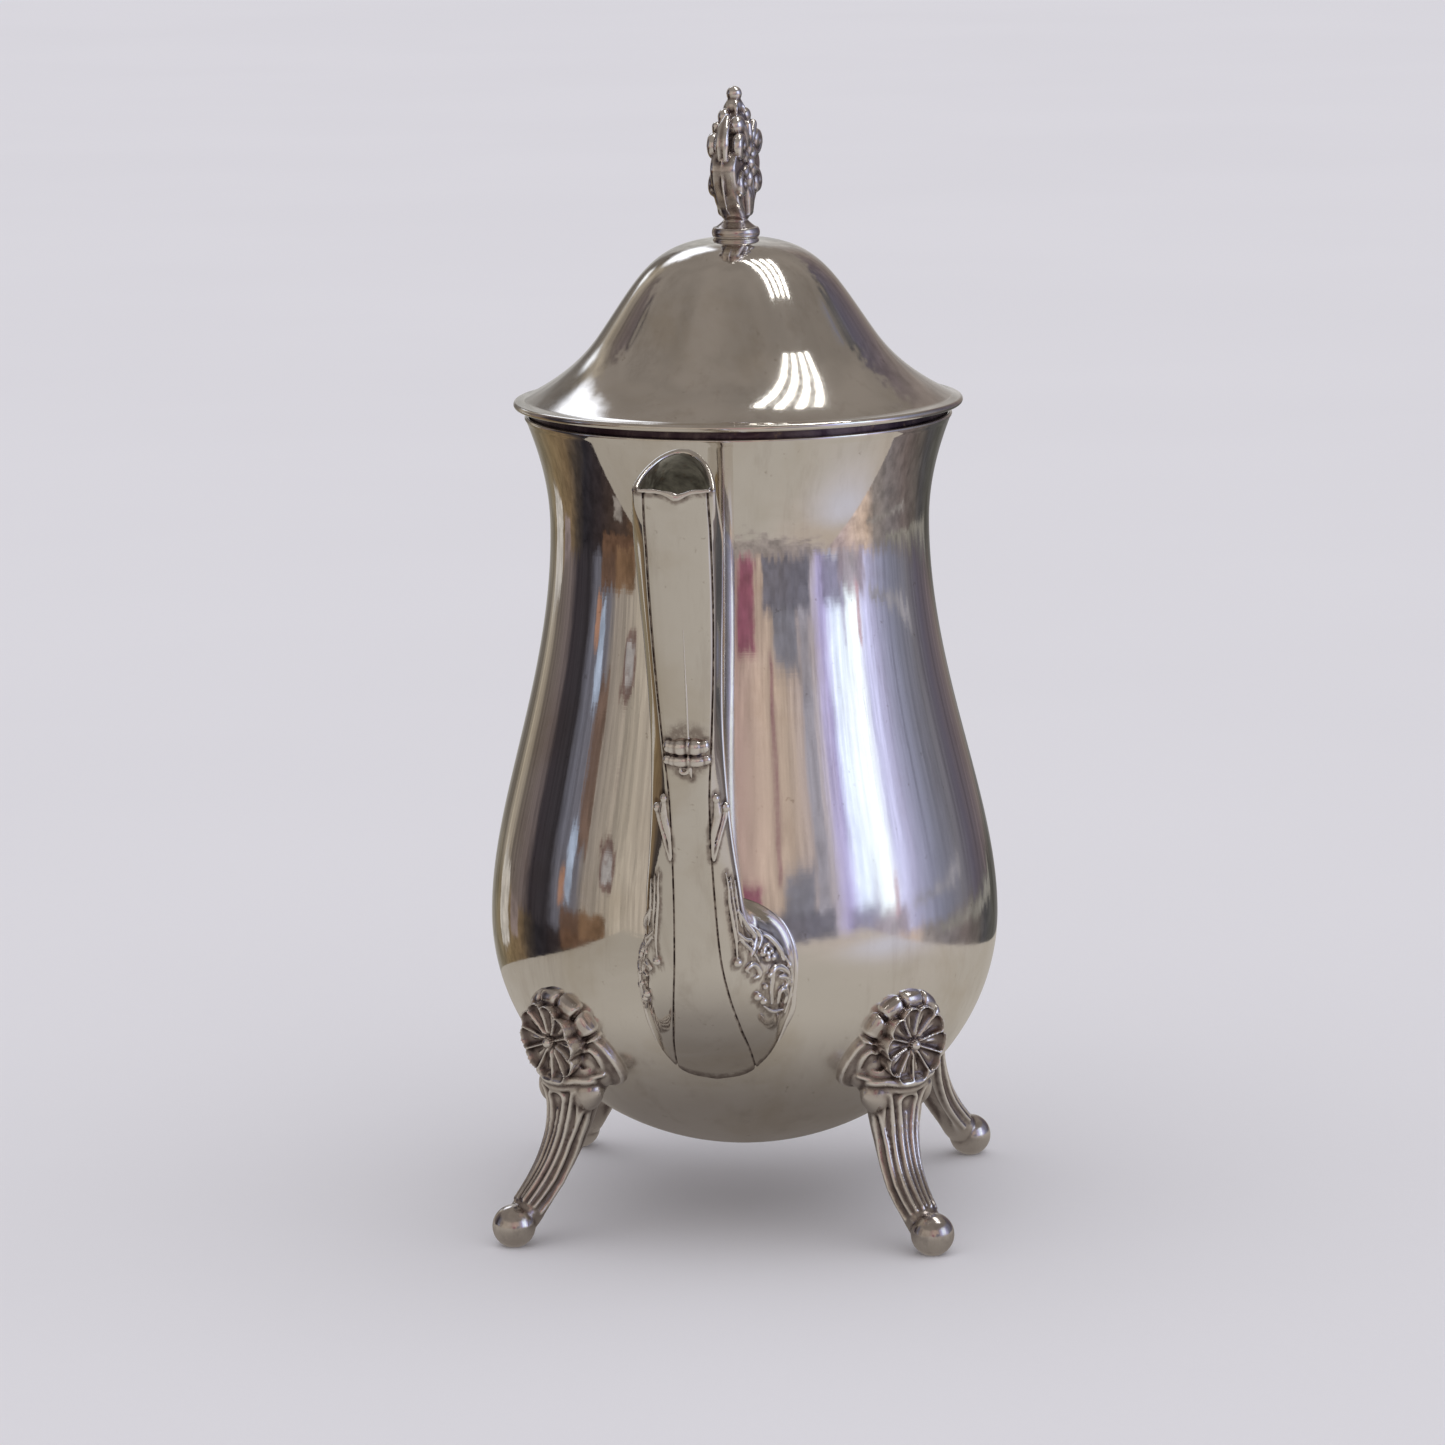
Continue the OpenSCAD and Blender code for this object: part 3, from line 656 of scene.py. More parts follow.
def make_lid():
    outer = lid_outline()
    inner = shifted(outer, -LID_WALL)
    inner[0] = [0, CROWN_Z - LID_WALL]
    bead = arc([LID_R - 0.25, LID_Z - 0.25], LIP_BEAD_R, 78, -196, 26)
    outline = np.vstack([outer[:-3], bead, inner[:-3][::-1]])
    piece("lid_dome", lathe(outline, 288), LID, [LID_SILVER, STAINED],
          ["lid_shell"], pick=inside_lid)
    flange_z = RING_TOP_Z + 0.2
    inside = SKIRT_R - SKIRT_T
    skirt = np.vstack([
        arc([SKIRT_R - 0.35, SKIRT_Z + 0.35], 0.35, -90, 0, 5),
        [[SKIRT_R, flange_z - 0.3], [SKIRT_R + 0.3, flange_z]],
        [[LID_R - 1.0, flange_z], [LID_R - 1.0, flange_z + 0.7], [inside, flange_z + 0.8]],
        arc([inside + 0.35, SKIRT_Z + 0.35], 0.35, 180, 270, 5)])
    piece("skirt_under_lid", closed_lathe(skirt, 192), LID, [TARNISHED],
          ["lid_skirt"])


def inside_lid(centres, normals):
    r = np.hypot(centres[:, 0], centres[:, 1])
    facing = (centres[:, 0] * normals[:, 0] + centres[:, 1] * normals[:, 1]) / np.maximum(r, 1e-6)
    return ((normals[:, 2] < -0.2) | (facing < -0.3)) & (r < LID_R - 1.3)


def make_bun():
    """Rounded knob under the finial: full at the sides, drawn in to a neck on top."""
    top, low = CROWN_Z + BUN_H, CROWN_Z - 0.15
    wide = BUN_R - 0.4
    side = smooth_path([(wide - 0.4, low), (wide - 0.05, low + 0.6), (wide, low + 1.5),
                        (wide - 0.35, low + 2.3), (wide - 0.9, top - 1.5), (wide - 2.2, top - 0.5),
                        (2.7, top + 0.1)], 40)
    outline = np.vstack([[[STUD_R - 0.4, low]], side, [[STUD_R - 0.4, top + 0.1]]])
    mesh = new_mesh("bun", *closed_lathe(outline, 96))
    merge_poles(mesh)
    mark_cavities(mesh, 0.20, 10)
    piece("finial_base", mesh, LID, [CAST], ["finial_bun"], weld=False)


# ------------------------------------------------------------------ pieces soldered on the body

SOLDER_DEPTH = 0.4            # how far a joined piece reaches into the body's 1 mm wall


def pressed_to_body(points):
    """Points inside the body are moved out to sit within its wall."""
    points = np.array(points, float)
    r = np.hypot(points[:, 0], points[:, 1])
    seat = body_radius(points[:, 2]) - SOLDER_DEPTH
    within = (r < seat) & (points[:, 2] > BODY_OUTLINE[0][1]) & (points[:, 2] < RIM_Z)
    points[within, :2] *= (seat[within] / np.maximum(r[within], 1e-6))[:, None]
    return points


def trimmed_columns(rings):
    """A grid of rings whose columns start where each one leaves the body."""
    rings = np.array(rings, float)
    r = np.hypot(rings[..., 0], rings[..., 1])
    clear = r - (body_radius(rings[..., 2]) - SOLDER_DEPTH)
    rows = len(rings)
    out = np.empty_like(rings)
    for c in range(rings.shape[1]):
        buried = np.nonzero(clear[:, c] < 0)[0]
        start = 0.0
        if len(buried):
            k = min(buried[-1], rows - 2)
            start = k + clear[k, c] / (clear[k, c] - clear[k + 1, c])
        at = np.linspace(start, rows - 1, rows)
        for axis in range(3):
            out[:, c, axis] = np.interp(at, np.arange(rows), rings[:, c, axis])
    return out


def rounded(points, rounds=3):
    """Corner-cutting of an open polyline that keeps its two ends."""
    p = np.array(points, float)
    for _ in range(rounds):
        cut = np.stack([0.75 * p[:-1] + 0.25 * p[1:], 0.25 * p[:-1] + 0.75 * p[1:]], 1)
        p = np.vstack([p[:1], cut.reshape(-1, p.shape[1]), p[-1:]])
    return p


# ------------------------------------------------------------------ spout

# Front [y, z], back [y, z], half width of the front facet, half width overall
SPOUT_SECTIONS = [
    (-46.0, 37.0, -50.0, 84.4, 9.0, 17.4), (-56.3, 46.2, -59.5, 83.4, 8.5, 16.8),
    (-64.5, 53.6, -63.0, 83.2, 7.5, 14.9), (-72.2, 62.2, -64.3, 85.2, 6.3, 12.0),
    (-77.9, 72.5, -65.2, 89.5, 5.2, 10.2), (-81.6, 86.0, -66.8, 96.0, 4.6, 9.1),
    (-84.6, 98.0, -69.2, 104.0, 4.4, 8.1), (-87.4, 111.0, -72.0, 114.5, 4.5, 7.4),
    (-89.9, 125.0, -74.8, 127.0, 5.6, 7.1), (-92.6, 141.0, -77.3, 142.5, 6.6, 7.5),
    (-95.6, 155.5, -79.3, 157.5, 7.1, 8.2), (-98.6, 168.0, -81.4, 171.0, 7.2, 8.7),
    (-100.3, 174.5, -84.0, 181.0, 7.0, 8.8), (-101.2, 178.6, -89.4, 186.5, 6.9, 8.8)]
ROOT_INSIDE = (-43.0, 39.5, -46.0, 83.0, 9.0, 17.4)
SPOUT_WALL = 1.5
LIP_DIP, LIP_DIP_HALF = 1.3, 3.6     # worn beak in the middle of the pouring lip
COLLAR_Z, COLLAR_R, COLLAR_HALF = (119.2, 122.3), (1.35, 1.85), (3.1, 2.9)

# Corners of one side of a section as shares of its depth and half width; None is the facet
TUBE_SIDES = {-1: [(0, 0), (0, 0.3), (0.008, None), (0.34, 1.19), (0.48, 1.25), (0.62, 1.19),
                   (0.79, 0.96), (0.92, 0.60), (1.0, 0.25), (1.0, 0)],
              1: [(0, 0), (0, 0.3), (0.008, None), (0.25, 0.96), (0.40, 1.02), (0.56, 0.98),
                  (0.75, 0.83), (0.90, 0.54), (1.0, 0.22), (1.0, 0)]}
ROOT_SIDES = {-1: [(0, 0), (0.012, 0.30), (0.045, None), (0.13, 0.73), (0.30, 0.87), (0.50, 0.93),
                   (0.70, 0.87), (0.87, 0.64), (0.97, 0.36), (1.0, 0)],
              1: [(0, 0), (0.012, 0.30), (0.045, None), (0.13, 0.77), (0.30, 0.98), (0.50, 1.09),
                  (0.70, 1.08), (0.87, 0.90), (0.97, 0.52), (1.0, 0)]}
LIP_SIDES = {-1: [(0, 0), (0, 0.4), (0, None), (0.03, 1.07), (0.15, 1.06), (0.35, 0.98),
                  (0.60, 0.80), (0.84, 0.53), (0.985, 0.20), (1.0, 0)],
             1: [(0, 0), (0, 0.4), (0, None), (0.03, 0.985), (0.15, 0.965), (0.35, 0.89),
                 (0.60, 0.74), (0.84, 0.50), (0.985, 0.20), (1.0, 0)]}


def spout_side(corners, depth, facet, half):
    return np.array([(d * depth, facet if w is None else w * half) for d, w in corners])


def spout_ring(section, inset, engrave):
    """Closed ring of a section; engrave cuts the fine line along the facet's edges."""
    front, back = np.array(section[0:2]), np.array(section[2:4])
    at_root = 1 - smoothstep(front[1], 42, 84)
    at_lip = smoothstep(front[1], 165, 178)
    facet, half = section[4] - 0.6 * inset, section[5] - inset
    depth = np.linalg.norm(back - front)
    inward = (back - front) / depth
    front_inset = inset * (1 - 0.35 * at_lip)
    start, depth = front + front_inset * inward, depth - inset - front_inset
    halves = []
    for side in (-1, 1):
        corners = ((1 - at_root - at_lip) * spout_side(TUBE_SIDES[side], depth, facet, half)
                   + at_root * spout_side(ROOT_SIDES[side], depth, facet, half)
                   + at_lip * spout_side(LIP_SIDES[side], depth, facet, half))
        edge = np.linalg.norm(np.diff(corners[:3], axis=0), axis=1).sum()
        line = rounded(corners, 2)
        length = np.r_[0, np.cumsum(np.linalg.norm(np.diff(line, axis=0), axis=1))]
        at = np.r_[[0, 0.15, 0.3, 0.5], np.linspace(0.9, edge - 1.3, 6),
                   np.linspace(edge - 0.9, edge + 0.9, 19), np.linspace(edge + 1.5, length[-1], 34)]
        d, w = np.interp(at, length, line[:, 0]), np.interp(at, length, line[:, 1])
        if engrave:
            d = d + engrave * 0.42 * np.exp(-((at - edge) / 0.22) ** 2)
        halves.append(np.stack([side * w, start[0] + d * inward[0], start[1] + d * inward[1]], 1))
    return np.vstack([halves[0], halves[1][-2:0:-1]])


def spout_skin():
    """Outer skin, lip and inner skin of the spout, from where it leaves the body."""
    sections = smooth_path(SPOUT_SECTIONS, 260)
    outer = np.array([spout_ring(s, 0, 1.0) for s in sections])
    inner_sections = smooth_path([ROOT_INSIDE] + list(SPOUT_SECTIONS[1:]), 70)
    inner = np.array([spout_ring(s, SPOUT_WALL, 0) for s in inner_sections])
    for grid in (outer, inner):
        share = np.clip(1 - np.abs(grid[..., 0] - 0.4) / LIP_DIP_HALF, 0, 1)
        front = smoothstep(-grid[..., 1], 96.5, 99.5)
        grid[..., 2] -= LIP_DIP * share * front * smoothstep(grid[..., 2], 174, 178)
        grid[..., 1] -= 0.5 * share * front * smoothstep(grid[..., 2], 174, 178)
    outer, inner = trimmed_columns(outer), trimmed_columns(inner)
    middle, half = (outer[-1] + inner[-1]) / 2, (outer[-1] - inner[-1]) / 2
    along = np.array([0, -0.583, 0.813]) * 0.6
    lip = [middle + half * math.cos(a) + along * math.sin(a)
           for a in np.radians([25, 55, 90, 125, 155])]
    return outer, np.array(lip), inner[::-1]


def near_strokes(points, strokes, reach):
    """1 on the strokes, fading to 0 at the given distance, in millimetres."""
    tree = KDTree(len(strokes))
    for i, p in enumerate(strokes):
        tree.insert(p, i)
    tree.balance()
    distance = np.array([tree.find(p)[2] for p in points])
    return np.clip(1 - distance / reach, 0, 1)


class Surface:
    """Finds points on a mesh in millimetres, for laying ornament on it."""

    def __init__(self, points, faces):
        self.tree = BVHTree.FromPolygons([Vector(p) for p in points],
                                         [list(map(int, f)) for f in faces])

    def nearest(self, point, lift=0.0):
        spot, normal, _, _ = self.tree.find_nearest(Vector(point))
        out = Vector(point) - spot
        if out.length > 1e-6 and normal.dot(out) < 0:
            normal = -normal
        return np.array(spot + lift * normal)

    def from_within(self, angle, z, lift=0.0):
        """Point seen from the spout's middle at a height, at an angle from straight ahead."""
        a = math.radians(angle)
        ahead = Vector((math.sin(a), -math.cos(a), 0))
        spot, normal, _, _ = self.tree.ray_cast(Vector((0, np.interp(z, *SPOUT_MIDDLE), z)), ahead)
        if spot is None:
            return None
        return np.array(spot + lift * (normal if normal.dot(ahead) > 0 else -normal))

    def from_front(self, x, z, lift=0.0):
        spot, normal, _, _ = self.tree.ray_cast(Vector((x, -140, z)), Vector((0, 1, 0)))
        if spot is None:
            return None
        if normal.y > 0:
            normal = -normal
        return np.array(spot + lift * normal)


def spiral(centre, r_start, r_end, start, sweep, n=28):
    """Flat curl as (a, b) points; angles in degrees."""
    share = np.linspace(0, 1, n)
    a = np.radians(start + sweep * share)
    r = r_start + (r_end - r_start) * share
    return np.stack([centre[0] + r * np.cos(a), centre[1] + r * np.sin(a)], 1)


# Middle line of the spout: heights and y
SPOUT_MIDDLE = ([44, 56, 66, 75, 86, 100, 112], [-54, -57.5, -60, -66, -72, -77, -80])
# Relief on each side of the root: radius, then the angle from straight ahead and the height
# of each stroke's points. Stems, flowing hair, curls, loops, a sweep and the inner rim.
# Not a design: the points were picked in the photograph and a scratch script worked out their
# angles and heights. report.md says so, under the rules broken.
ROOT_STROKES = [
    (0.42, [(48, 93), (49, 90), (47, 86), (44, 80.5), (42, 76), (39, 73)]),
    (0.38, [(55, 92), (53, 86), (49, 81), (46, 77)]),
    (0.38, [(62, 91), (59, 86), (56, 82.5), (56, 80)]),
    (0.62, [(56, 84), (66, 80), (77, 77), (67, 74.5), (58, 73)]),
    (0.50, [(46, 79.5), (56, 77), (68, 76), (63, 73.5)]),
    (0.50, [(45, 78.5), (53, 76), (63, 73.5), (66, 71)]),
    (0.60, [(66, 80.5), (86, 78), (88, 76), (75, 74)]),
    (0.50, [(90, 76.5), (96, 76), (95, 73.5), (94, 72)]),
    (0.55, [(95, 77.5), (97, 75.5), (96, 73), (93, 70)]),
    (0.55, [(48, 69), (46, 70), (56, 70.8), (61, 69.5), (60, 68), (53, 67.5)]),
    (0.66, [(73, 60.5), (70, 64.5), (75, 68), (83, 68.8), (89, 67.5), (90, 65), (85, 63.5)]),
    (0.60, [(80, 60.2), (80, 62.8), (85, 63.2), (90, 61.5), (89, 59.8)]),
    (0.55, [(94, 63.5), (86, 66), (80, 66.5)]),
    (0.50, [(64, 60.2), (75, 58.4), (89, 58)]),
    (0.50, [(95, 72.5), (96, 66), (95, 61), (93, 57)])]
ROOT_BEADS = [(38, 72, 0.85), (63, 65, 0.6), (55, 63, 0.85), (62, 61.6, 0.75), (73, 75, 0.55),
              (95, 68.4, 0.6), (96, 61, 0.5), (70, 67.4, 0.5), (88, 74, 0.55)]
ROOT_FLOWER = (81, 72.3)
ROOT_SPREAD = {-1: -1.12, 1: 1.0}     # the relief lies further round the left lobe


def root_relief(surface, edge, side):
    """Scrolls, flower and beads on one side of the spout's root, inside its raised rim."""
    def laid(points, lift, n=30):
        found = [surface.from_within(a * ROOT_SPREAD[side], z, lift)
                 for a, z in smooth_path(points, n)]
        return np.array([p for p in found if p is not None])

    parts = []
    for radius, points in ROOT_STROKES:
        full = radius * (1.3 if radius >= 0.55 else 1.0)
        path = laid(points, 0.1)
        if len(path) > 4:
            parts.append(tube(path, [0.5 * full, full, full, 0.6 * full], 12))
    petals = [(ROOT_FLOWER[0] + 5.2 * math.cos(a), ROOT_FLOWER[1] + 1.25 * math.sin(a), 0.72)
              for a in np.radians([18, 90, 162, 234, 306])]
    for a, z, radius in ROOT_BEADS + petals + [(*ROOT_FLOWER, 0.75)]:
        spot = surface.from_within(a * ROOT_SPREAD[side], z, 0.2)
        if spot is not None:
            parts.append(ball(spot, 1.25 * radius, cols=16, rows=11))
    rim = edge[(edge[:, 0] * side > 8) & (edge[:, 2] > 45) & (edge[:, 2] < 84)]
    rim = resample(rim[np.argsort(rim[:, 2])], 60)
    out = np.array([surface.nearest(p, 0.25) for p in rim])
    out = smooth_path(out[::6], 80)
    parts.append(tube(out, [0.4, 0.9, 1.0, 0.95, 0.5], 12))
    return parts


def facet_stroke(surface, points, lift, n=24):
    """Path laid on the spout from (x, z) points seen from the front."""
    found = [surface.from_front(x, z, lift) for x, z in smooth_path(points, n)]
    return np.array([p for p in found if p is not None])


def spout_ornament(surface):
    """Collar bars with their nubs and curl, the seam above and the buds beside the facet."""
    parts = []
    for z, r, half in zip(COLLAR_Z, COLLAR_R, COLLAR_HALF):
        bar = facet_stroke(surface, [(-half, z), (0, z), (half, z)], 0.0, 20)
        parts.append(tube(bar, [r * 0.9, r * 0.96, r * 0.9], 18))
        for side in (-1, 1):
            spot = surface.from_front(0.3 + side * half * 0.5, z, 0.3)
            parts.append(ball(spot, (half * 0.72, r * 0.95, r), cols=24, rows=16))
            spot = surface.from_front(side * (half + 1.0), z + 0.2, 0.1)
            parts.append(ball(spot, (1.15, 0.7 * r, 0.8 * r), cols=16, rows=10))
        line = facet_stroke(surface, [(0.4, z - r * 0.8), (0.4, z), (0.4, z + r * 0.8)], 0, 12)
        line[:, 1] -= np.sqrt(np.clip(r ** 2 - (line[:, 2] - z) ** 2, 0, None)) - 0.1
        parts.append(tube(line, 0.28, 8))
    curl = facet_stroke(surface, spiral((-0.9, 117.2), 1.15, 0.4, 20, -330).tolist(), 0.0, 26)
    parts.append(tube(curl, [0.5, 0.5, 0.35], 8))
    drop = facet_stroke(surface, [(0.4, 118.0), (0.7, 116.6), (0.8, 115.2)], 0.05, 12)
    parts.append(tube(drop, [0.6, 0.4, 0.15], 8))
    for side in (-1, 1):
        bud = facet_stroke(surface, [(side * 4.5, 97), (side * 4.8, 102), (side * 5.7, 107),
                                     (side * 5.5, 111)], 0.0)
        parts.append(tube(bud, [0.35, 0.5, 0.95, 1.1, 0.5], 12))
        stalk = facet_stroke(surface, [(side * 4.7, 96.5), (side * 5.9, 101.5), (side * 6.9, 105.5),
                                       (side * 7.2, 108)], 0.1)
        parts.append(tube(stalk, [0.4, 0.55, 0.6, 0.8], 10))
        parts.append(ball(stalk[-1], 1.1, cols=16, rows=10))
        parts.append(ball(bud[-2], 0.95, cols=16, rows=10))
    seam = facet_stroke(surface, [(0.4, 123.5), (0.35, 135), (0.3, 152)], 0.02, 50)
    return parts, tube(seam, [0.34, 0.3, 0.22, 0.1], 8)


def make_spout():
    outer, lip, inner = spout_skin()
    rows, cols = len(outer), outer.shape[1]
    grid = np.vstack([outer, lip, inner])
    faces = grid_faces(len(grid), cols, True, True)
    points = grid.reshape(-1, 3)
    surface = Surface(outer.reshape(-1, 3), grid_faces(rows, cols, True, False))
    shown = rows + len(lip) - 1

    ornament, seam = spout_ornament(surface)
    front = lip[2][lip[2][:, 1] < lip[2][:, 1].min() + 0.8]
    front = smooth_path(front[np.argsort(front[:, 0])][::3] + [0, -0.15, -0.25], 60)
    ornament.append(tube(front, [0.35, 0.5, 0.45, 0.95, 0.5, 0.5, 0.35], 10))
    reliefs = root_relief(surface, outer[0], 1) + root_relief(surface, outer[0], -1)
    strokes = np.vstack([p for p, _ in ornament + reliefs])
    mesh = new_mesh("spout", points, faces)
    stain = 0.85 * near_strokes(points, strokes[::3], 1.4)
    edge_gap = np.hypot(points[:, 0], points[:, 1]) - body_radius(points[:, 2])
    stain = np.maximum(stain, 0.7 * np.clip(1 - np.abs(edge_gap) / 1.0, 0, 1))
    column = np.arange(len(points)) % cols
    from_line = 0.1 * np.min([np.abs(column - c) for c in facet_columns(cols)], axis=0)
    stain = np.maximum(stain, 0.95 * np.exp(-(from_line / 0.24) ** 2))
    round_collar = points - [0, -89.2, sum(COLLAR_Z) / 2 + 0.8]
    round_collar[:, 2] *= 0.85
    cloud = np.clip(1.15 - np.linalg.norm(round_collar, axis=1) / 5.9, 0, 0.62)
    stain = np.maximum(stain, cloud) * (np.arange(len(points)) < shown * cols)
    mark(mesh, "stain", stain)
    face_row = np.repeat(np.arange(len(grid)), cols)
    piece("spout", mesh, POT, [POLISHED, SPOUT_INSIDE],
          ["spout_left_half", "spout_right_half"],
          pick=lambda centres, normals: face_row[:len(centres)] > shown, weld=False)
    piece("spout_relief", fused("spout_relief", reliefs, 0.22, 2, 0.10), POT,
          [CAST], weld=False)
    piece("spout_collar_and_buds", fused("spout_collar_and_buds", ornament + [seam], 0.2, 2, 0.12), POT,
          [CAST], weld=False)


def facet_columns(cols):
    """Columns of the spout's grid that run along the engraved lines."""
    first = 4 + 6 + 9
    return [first, cols - first]


# ------------------------------------------------------------------ feet

def leg_loft():
    path = np.vstack([[[51.0, 41.0]],
                      bezier([[51, 41], [50, 26], [53.5, 15], [TOE_RING_R - 1, TOE_R]], 48)])
    ahead = np.gradient(path, axis=0)
    ahead /= np.linalg.norm(ahead, axis=1)[:, None]
    front = np.stack([-ahead[:, 1], ahead[:, 0]], 1)
    z = path[:, 1]
    wide = np.interp(z, [5, 9, 16, 24, 31, 34, 37, 39, 45], [3.8, 3.9, 4.2, 5.0, 6.2, 7.5, 9.6, 10, 9])
    deep = np.interp(z, [5, 9, 16, 24, 31, 36, 45], [3.5, 3.5, 3.6, 4.0, 4.7, 5.8, 6.0])
    return path, front, wide, deep


def on_leg(angle, z, lift=0.0):
    """Points on the leg at these heights, at an angle about it from its front, in degrees."""
    path, front, wide, deep = LEG
    order = np.argsort(path[:, 1])
    height = path[order, 1]
    pick = [np.interp(z, height, values[order]) for values in
            (path[:, 0], front[:, 0], front[:, 1], wide, deep)]
    a = np.radians(angle)
    c = np.sign(np.cos(a)) * np.abs(np.cos(a)) ** 0.85
    s = np.sign(np.sin(a)) * np.abs(np.sin(a)) ** 0.85
    x = pick[0] + pick[1] * (pick[4] + lift) * c
    y = (pick[3] + lift) * s
    return np.stack([x, y + 0 * x, z + pick[2] * (pick[4] + lift) * c], -1)


def leg_parts():
    """Tapering leg with a channel up its back, flutes and loops down its front, a ball toe."""
    path, front, wide, deep = LEG
    turn = np.radians(np.arange(0, 360, 6))
    c = np.sign(np.cos(turn)) * np.abs(np.cos(turn)) ** 0.85
    s = np.sign(np.sin(turn)) * np.abs(np.sin(turn)) ** 0.85
    channel = 1 - 0.75 * smoothstep(-np.cos(turn), 0.45, 0.95)
    rings = []
    for p, n, w, d in zip(path, front, wide, deep):
        hollow = 1 + (channel - 1) * smoothstep(p[1], 7, 12)
        rings.append(np.stack([p[0] + n[0] * d * c * hollow, w * s, p[1] + n[1] * d * c * hollow], 1))
    parts = [loft(rings), ball((TOE_RING_R, 0, TOE_R - 0.4), TOE_R, cols=36, rows=22)]

    def flute(angles, z, radii, lift=0.15):
        a = np.interp(np.linspace(0, 1, 40), np.linspace(0, 1, len(angles)), angles)
        zz = np.interp(np.linspace(0, 1, 40), np.linspace(0, 1, len(z)), z)
        return tube(on_leg(a, zz, lift), radii, 10)

    thin = [0.62, 0.6, 0.52, 0.4]
    for side in (-1, 1):
        parts.append(flute([side * 16, side * 13, side * 15, side * 13], [32.4, 26, 15, 8.0], thin))
        parts.append(flute([side * 34, side * 33, side * 40, side * 40], [35.0, 27, 15, 8.0], thin))
        parts.append(flute([side * 62, side * 60, side * 70, side * 66], [27.0, 22, 14, 8.0], thin))
        parts.append(flute([side * 84, side * 88, side * 100, side * 98], [32.0, 24, 14, 8.0],
                           [0.7, 0.7, 0.6, 0.4]))
        arch_a = side * np.array([62, 64, 72, 82, 88, 88])
        arch_z = np.array([27.0, 29.6, 31.0, 30.2, 27.6, 24.5])
        parts.append(tube(on_leg(np.interp(np.linspace(0, 5, 24), range(6), arch_a),
                                 np.interp(np.linspace(0, 5, 24), range(6), arch_z), 0.25),
                          [0.6, 0.75, 0.6], 10))
        parts.append(flute([side * 38, side * 52, side * 62], [35.4, 31.5, 27.0], [0.5, 0.6, 0.6]))
    loop_a = 16 * np.cos(np.radians(np.linspace(0, 180, 20)))
    loop_z = 32.4 + 2.2 * np.sin(np.radians(np.linspace(0, 180, 20)))
    parts.append(tube(on_leg(loop_a, loop_z, 0.2), 0.62, 10))
    parts.append(flute([0, 0, 0], [29.5, 20, 8.5], [0.25, 0.42, 0.3], 0.1))
    return parts


def ledge_parts():
    """Moulded lip where the leg meets the shell, with a cushion under each end of it."""
    t = np.linspace(-11, 11, 37)
    shelf = np.stack([57.4 - 0.045 * t ** 2, t, 37.2 + 0.019 * t ** 2], 1)
    under = shelf[3:-3] + [-0.8, 0, -1.5]
    cushions = [ball(on_leg(side * 72, 34.9, -2.2), (3.6, 4.0, 4.6), cols=32, rows=20)
                for side in (-1, 1)]
    return [tube(shelf, [0.5, 0.85, 0.95, 0.85, 0.5], 12), tube(under, [0.4, 0.9, 1.0, 0.9, 0.4], 12),
            ball((53.2, 0, 38.0), (4.4, 10.0, 2.2), cols=32, rows=16)] + cushions


def flower():
    """Ten cupped petals round a bead, as a thick disc in its own plane with +Z out."""
    turns, steps = 180, 26
    a = np.linspace(0, 2 * math.pi, turns, endpoint=False)
    wave = np.abs(np.cos(5 * a))
    edge = 7.9 + 1.15 * wave ** 0.6
    share = np.linspace(0, 1, steps)[1:, None]
    r = share * edge
    gap = np.abs((a / (math.pi / 5) + 0.5) % 1 - 0.5) * (math.pi / 5)
    centre_gap = math.pi / 10 - np.abs(gap)
    wall = np.exp(-(centre_gap * r / 0.42) ** 2) * smoothstep(share, 0.10, 0.3)
    rim = np.exp(-((edge - r) / 0.58) ** 2)
    rib = 0.3 * np.exp(-(gap * r / 0.3) ** 2) * smoothstep(share, 0.15, 0.3) \
        * (1 - smoothstep(share, 0.62, 0.8))
    high = -1.1 * (1 - share ** 2) - 1.35 + 1.5 * np.maximum(np.maximum(wall, rim), rib)
    top = np.stack([r * np.cos(a), r * np.sin(a), high], -1)
    side = np.stack([edge * np.cos(a), edge * np.sin(a), 0 * a], -1)
    rows = [side * [0.93, 0.93, 1] + [0, 0, -6.5], side * [0.98, 0.98, 1] + [0, 0, -2.2],
            side + [0, 0, -0.9]] + list(top[::-1])
    disc = loft(rows)
    stretch = np.array([1.06, 0.97, 1])
    return [(disc[0] * stretch, disc[1]), ball((0, 0, -1.0), 1.3, cols=18, rows=12)]


def on_bowl(t, z, lift=0.0):
    """Point on the bowl at sideways distance t along it and height z, pushed out by lift."""
    r = body_radius(z)
    slope = np.interp(z, BODY_OUTLINE[:, 1], np.gradient(BODY_OUTLINE[:, 0])
                      / np.maximum(np.gradient(BODY_OUTLINE[:, 1]), 1e-3))
    out = np.array([1.0, -slope]) / math.hypot(1, slope)
    a = t / max(r, 1e-6)
    reach = r + lift * out[0]
    return np.array([reach * math.cos(a), reach * math.sin(a), z + lift * out[1]])


def facing(t, z):
    """Turn whose X is the bowl's outward normal there, Y sideways along it, Z up it."""
    out = on_bowl(t, z, 1.0) - on_bowl(t, z, 0.0)
    across = on_bowl(t + 0.5, z) - on_bowl(t - 0.5, z)
    across /= np.linalg.norm(across)
    out = out - across * (out @ across)
    out /= np.linalg.norm(out)
    return np.stack([out, across, np.cross(out, across)], 1)


def pad(t, z, lift, under=-0.9):
    """Closed solid lying on the bowl: grids of sideways distance, height and thickness."""
    rings = []
    for row in zip(t, z, lift):
        top = [on_bowl(*point) for point in zip(*row)]
        rings.append(np.array(top + [on_bowl(a, b, under) for a, b, _ in zip(*row)][::-1]))
    return loft(rings)


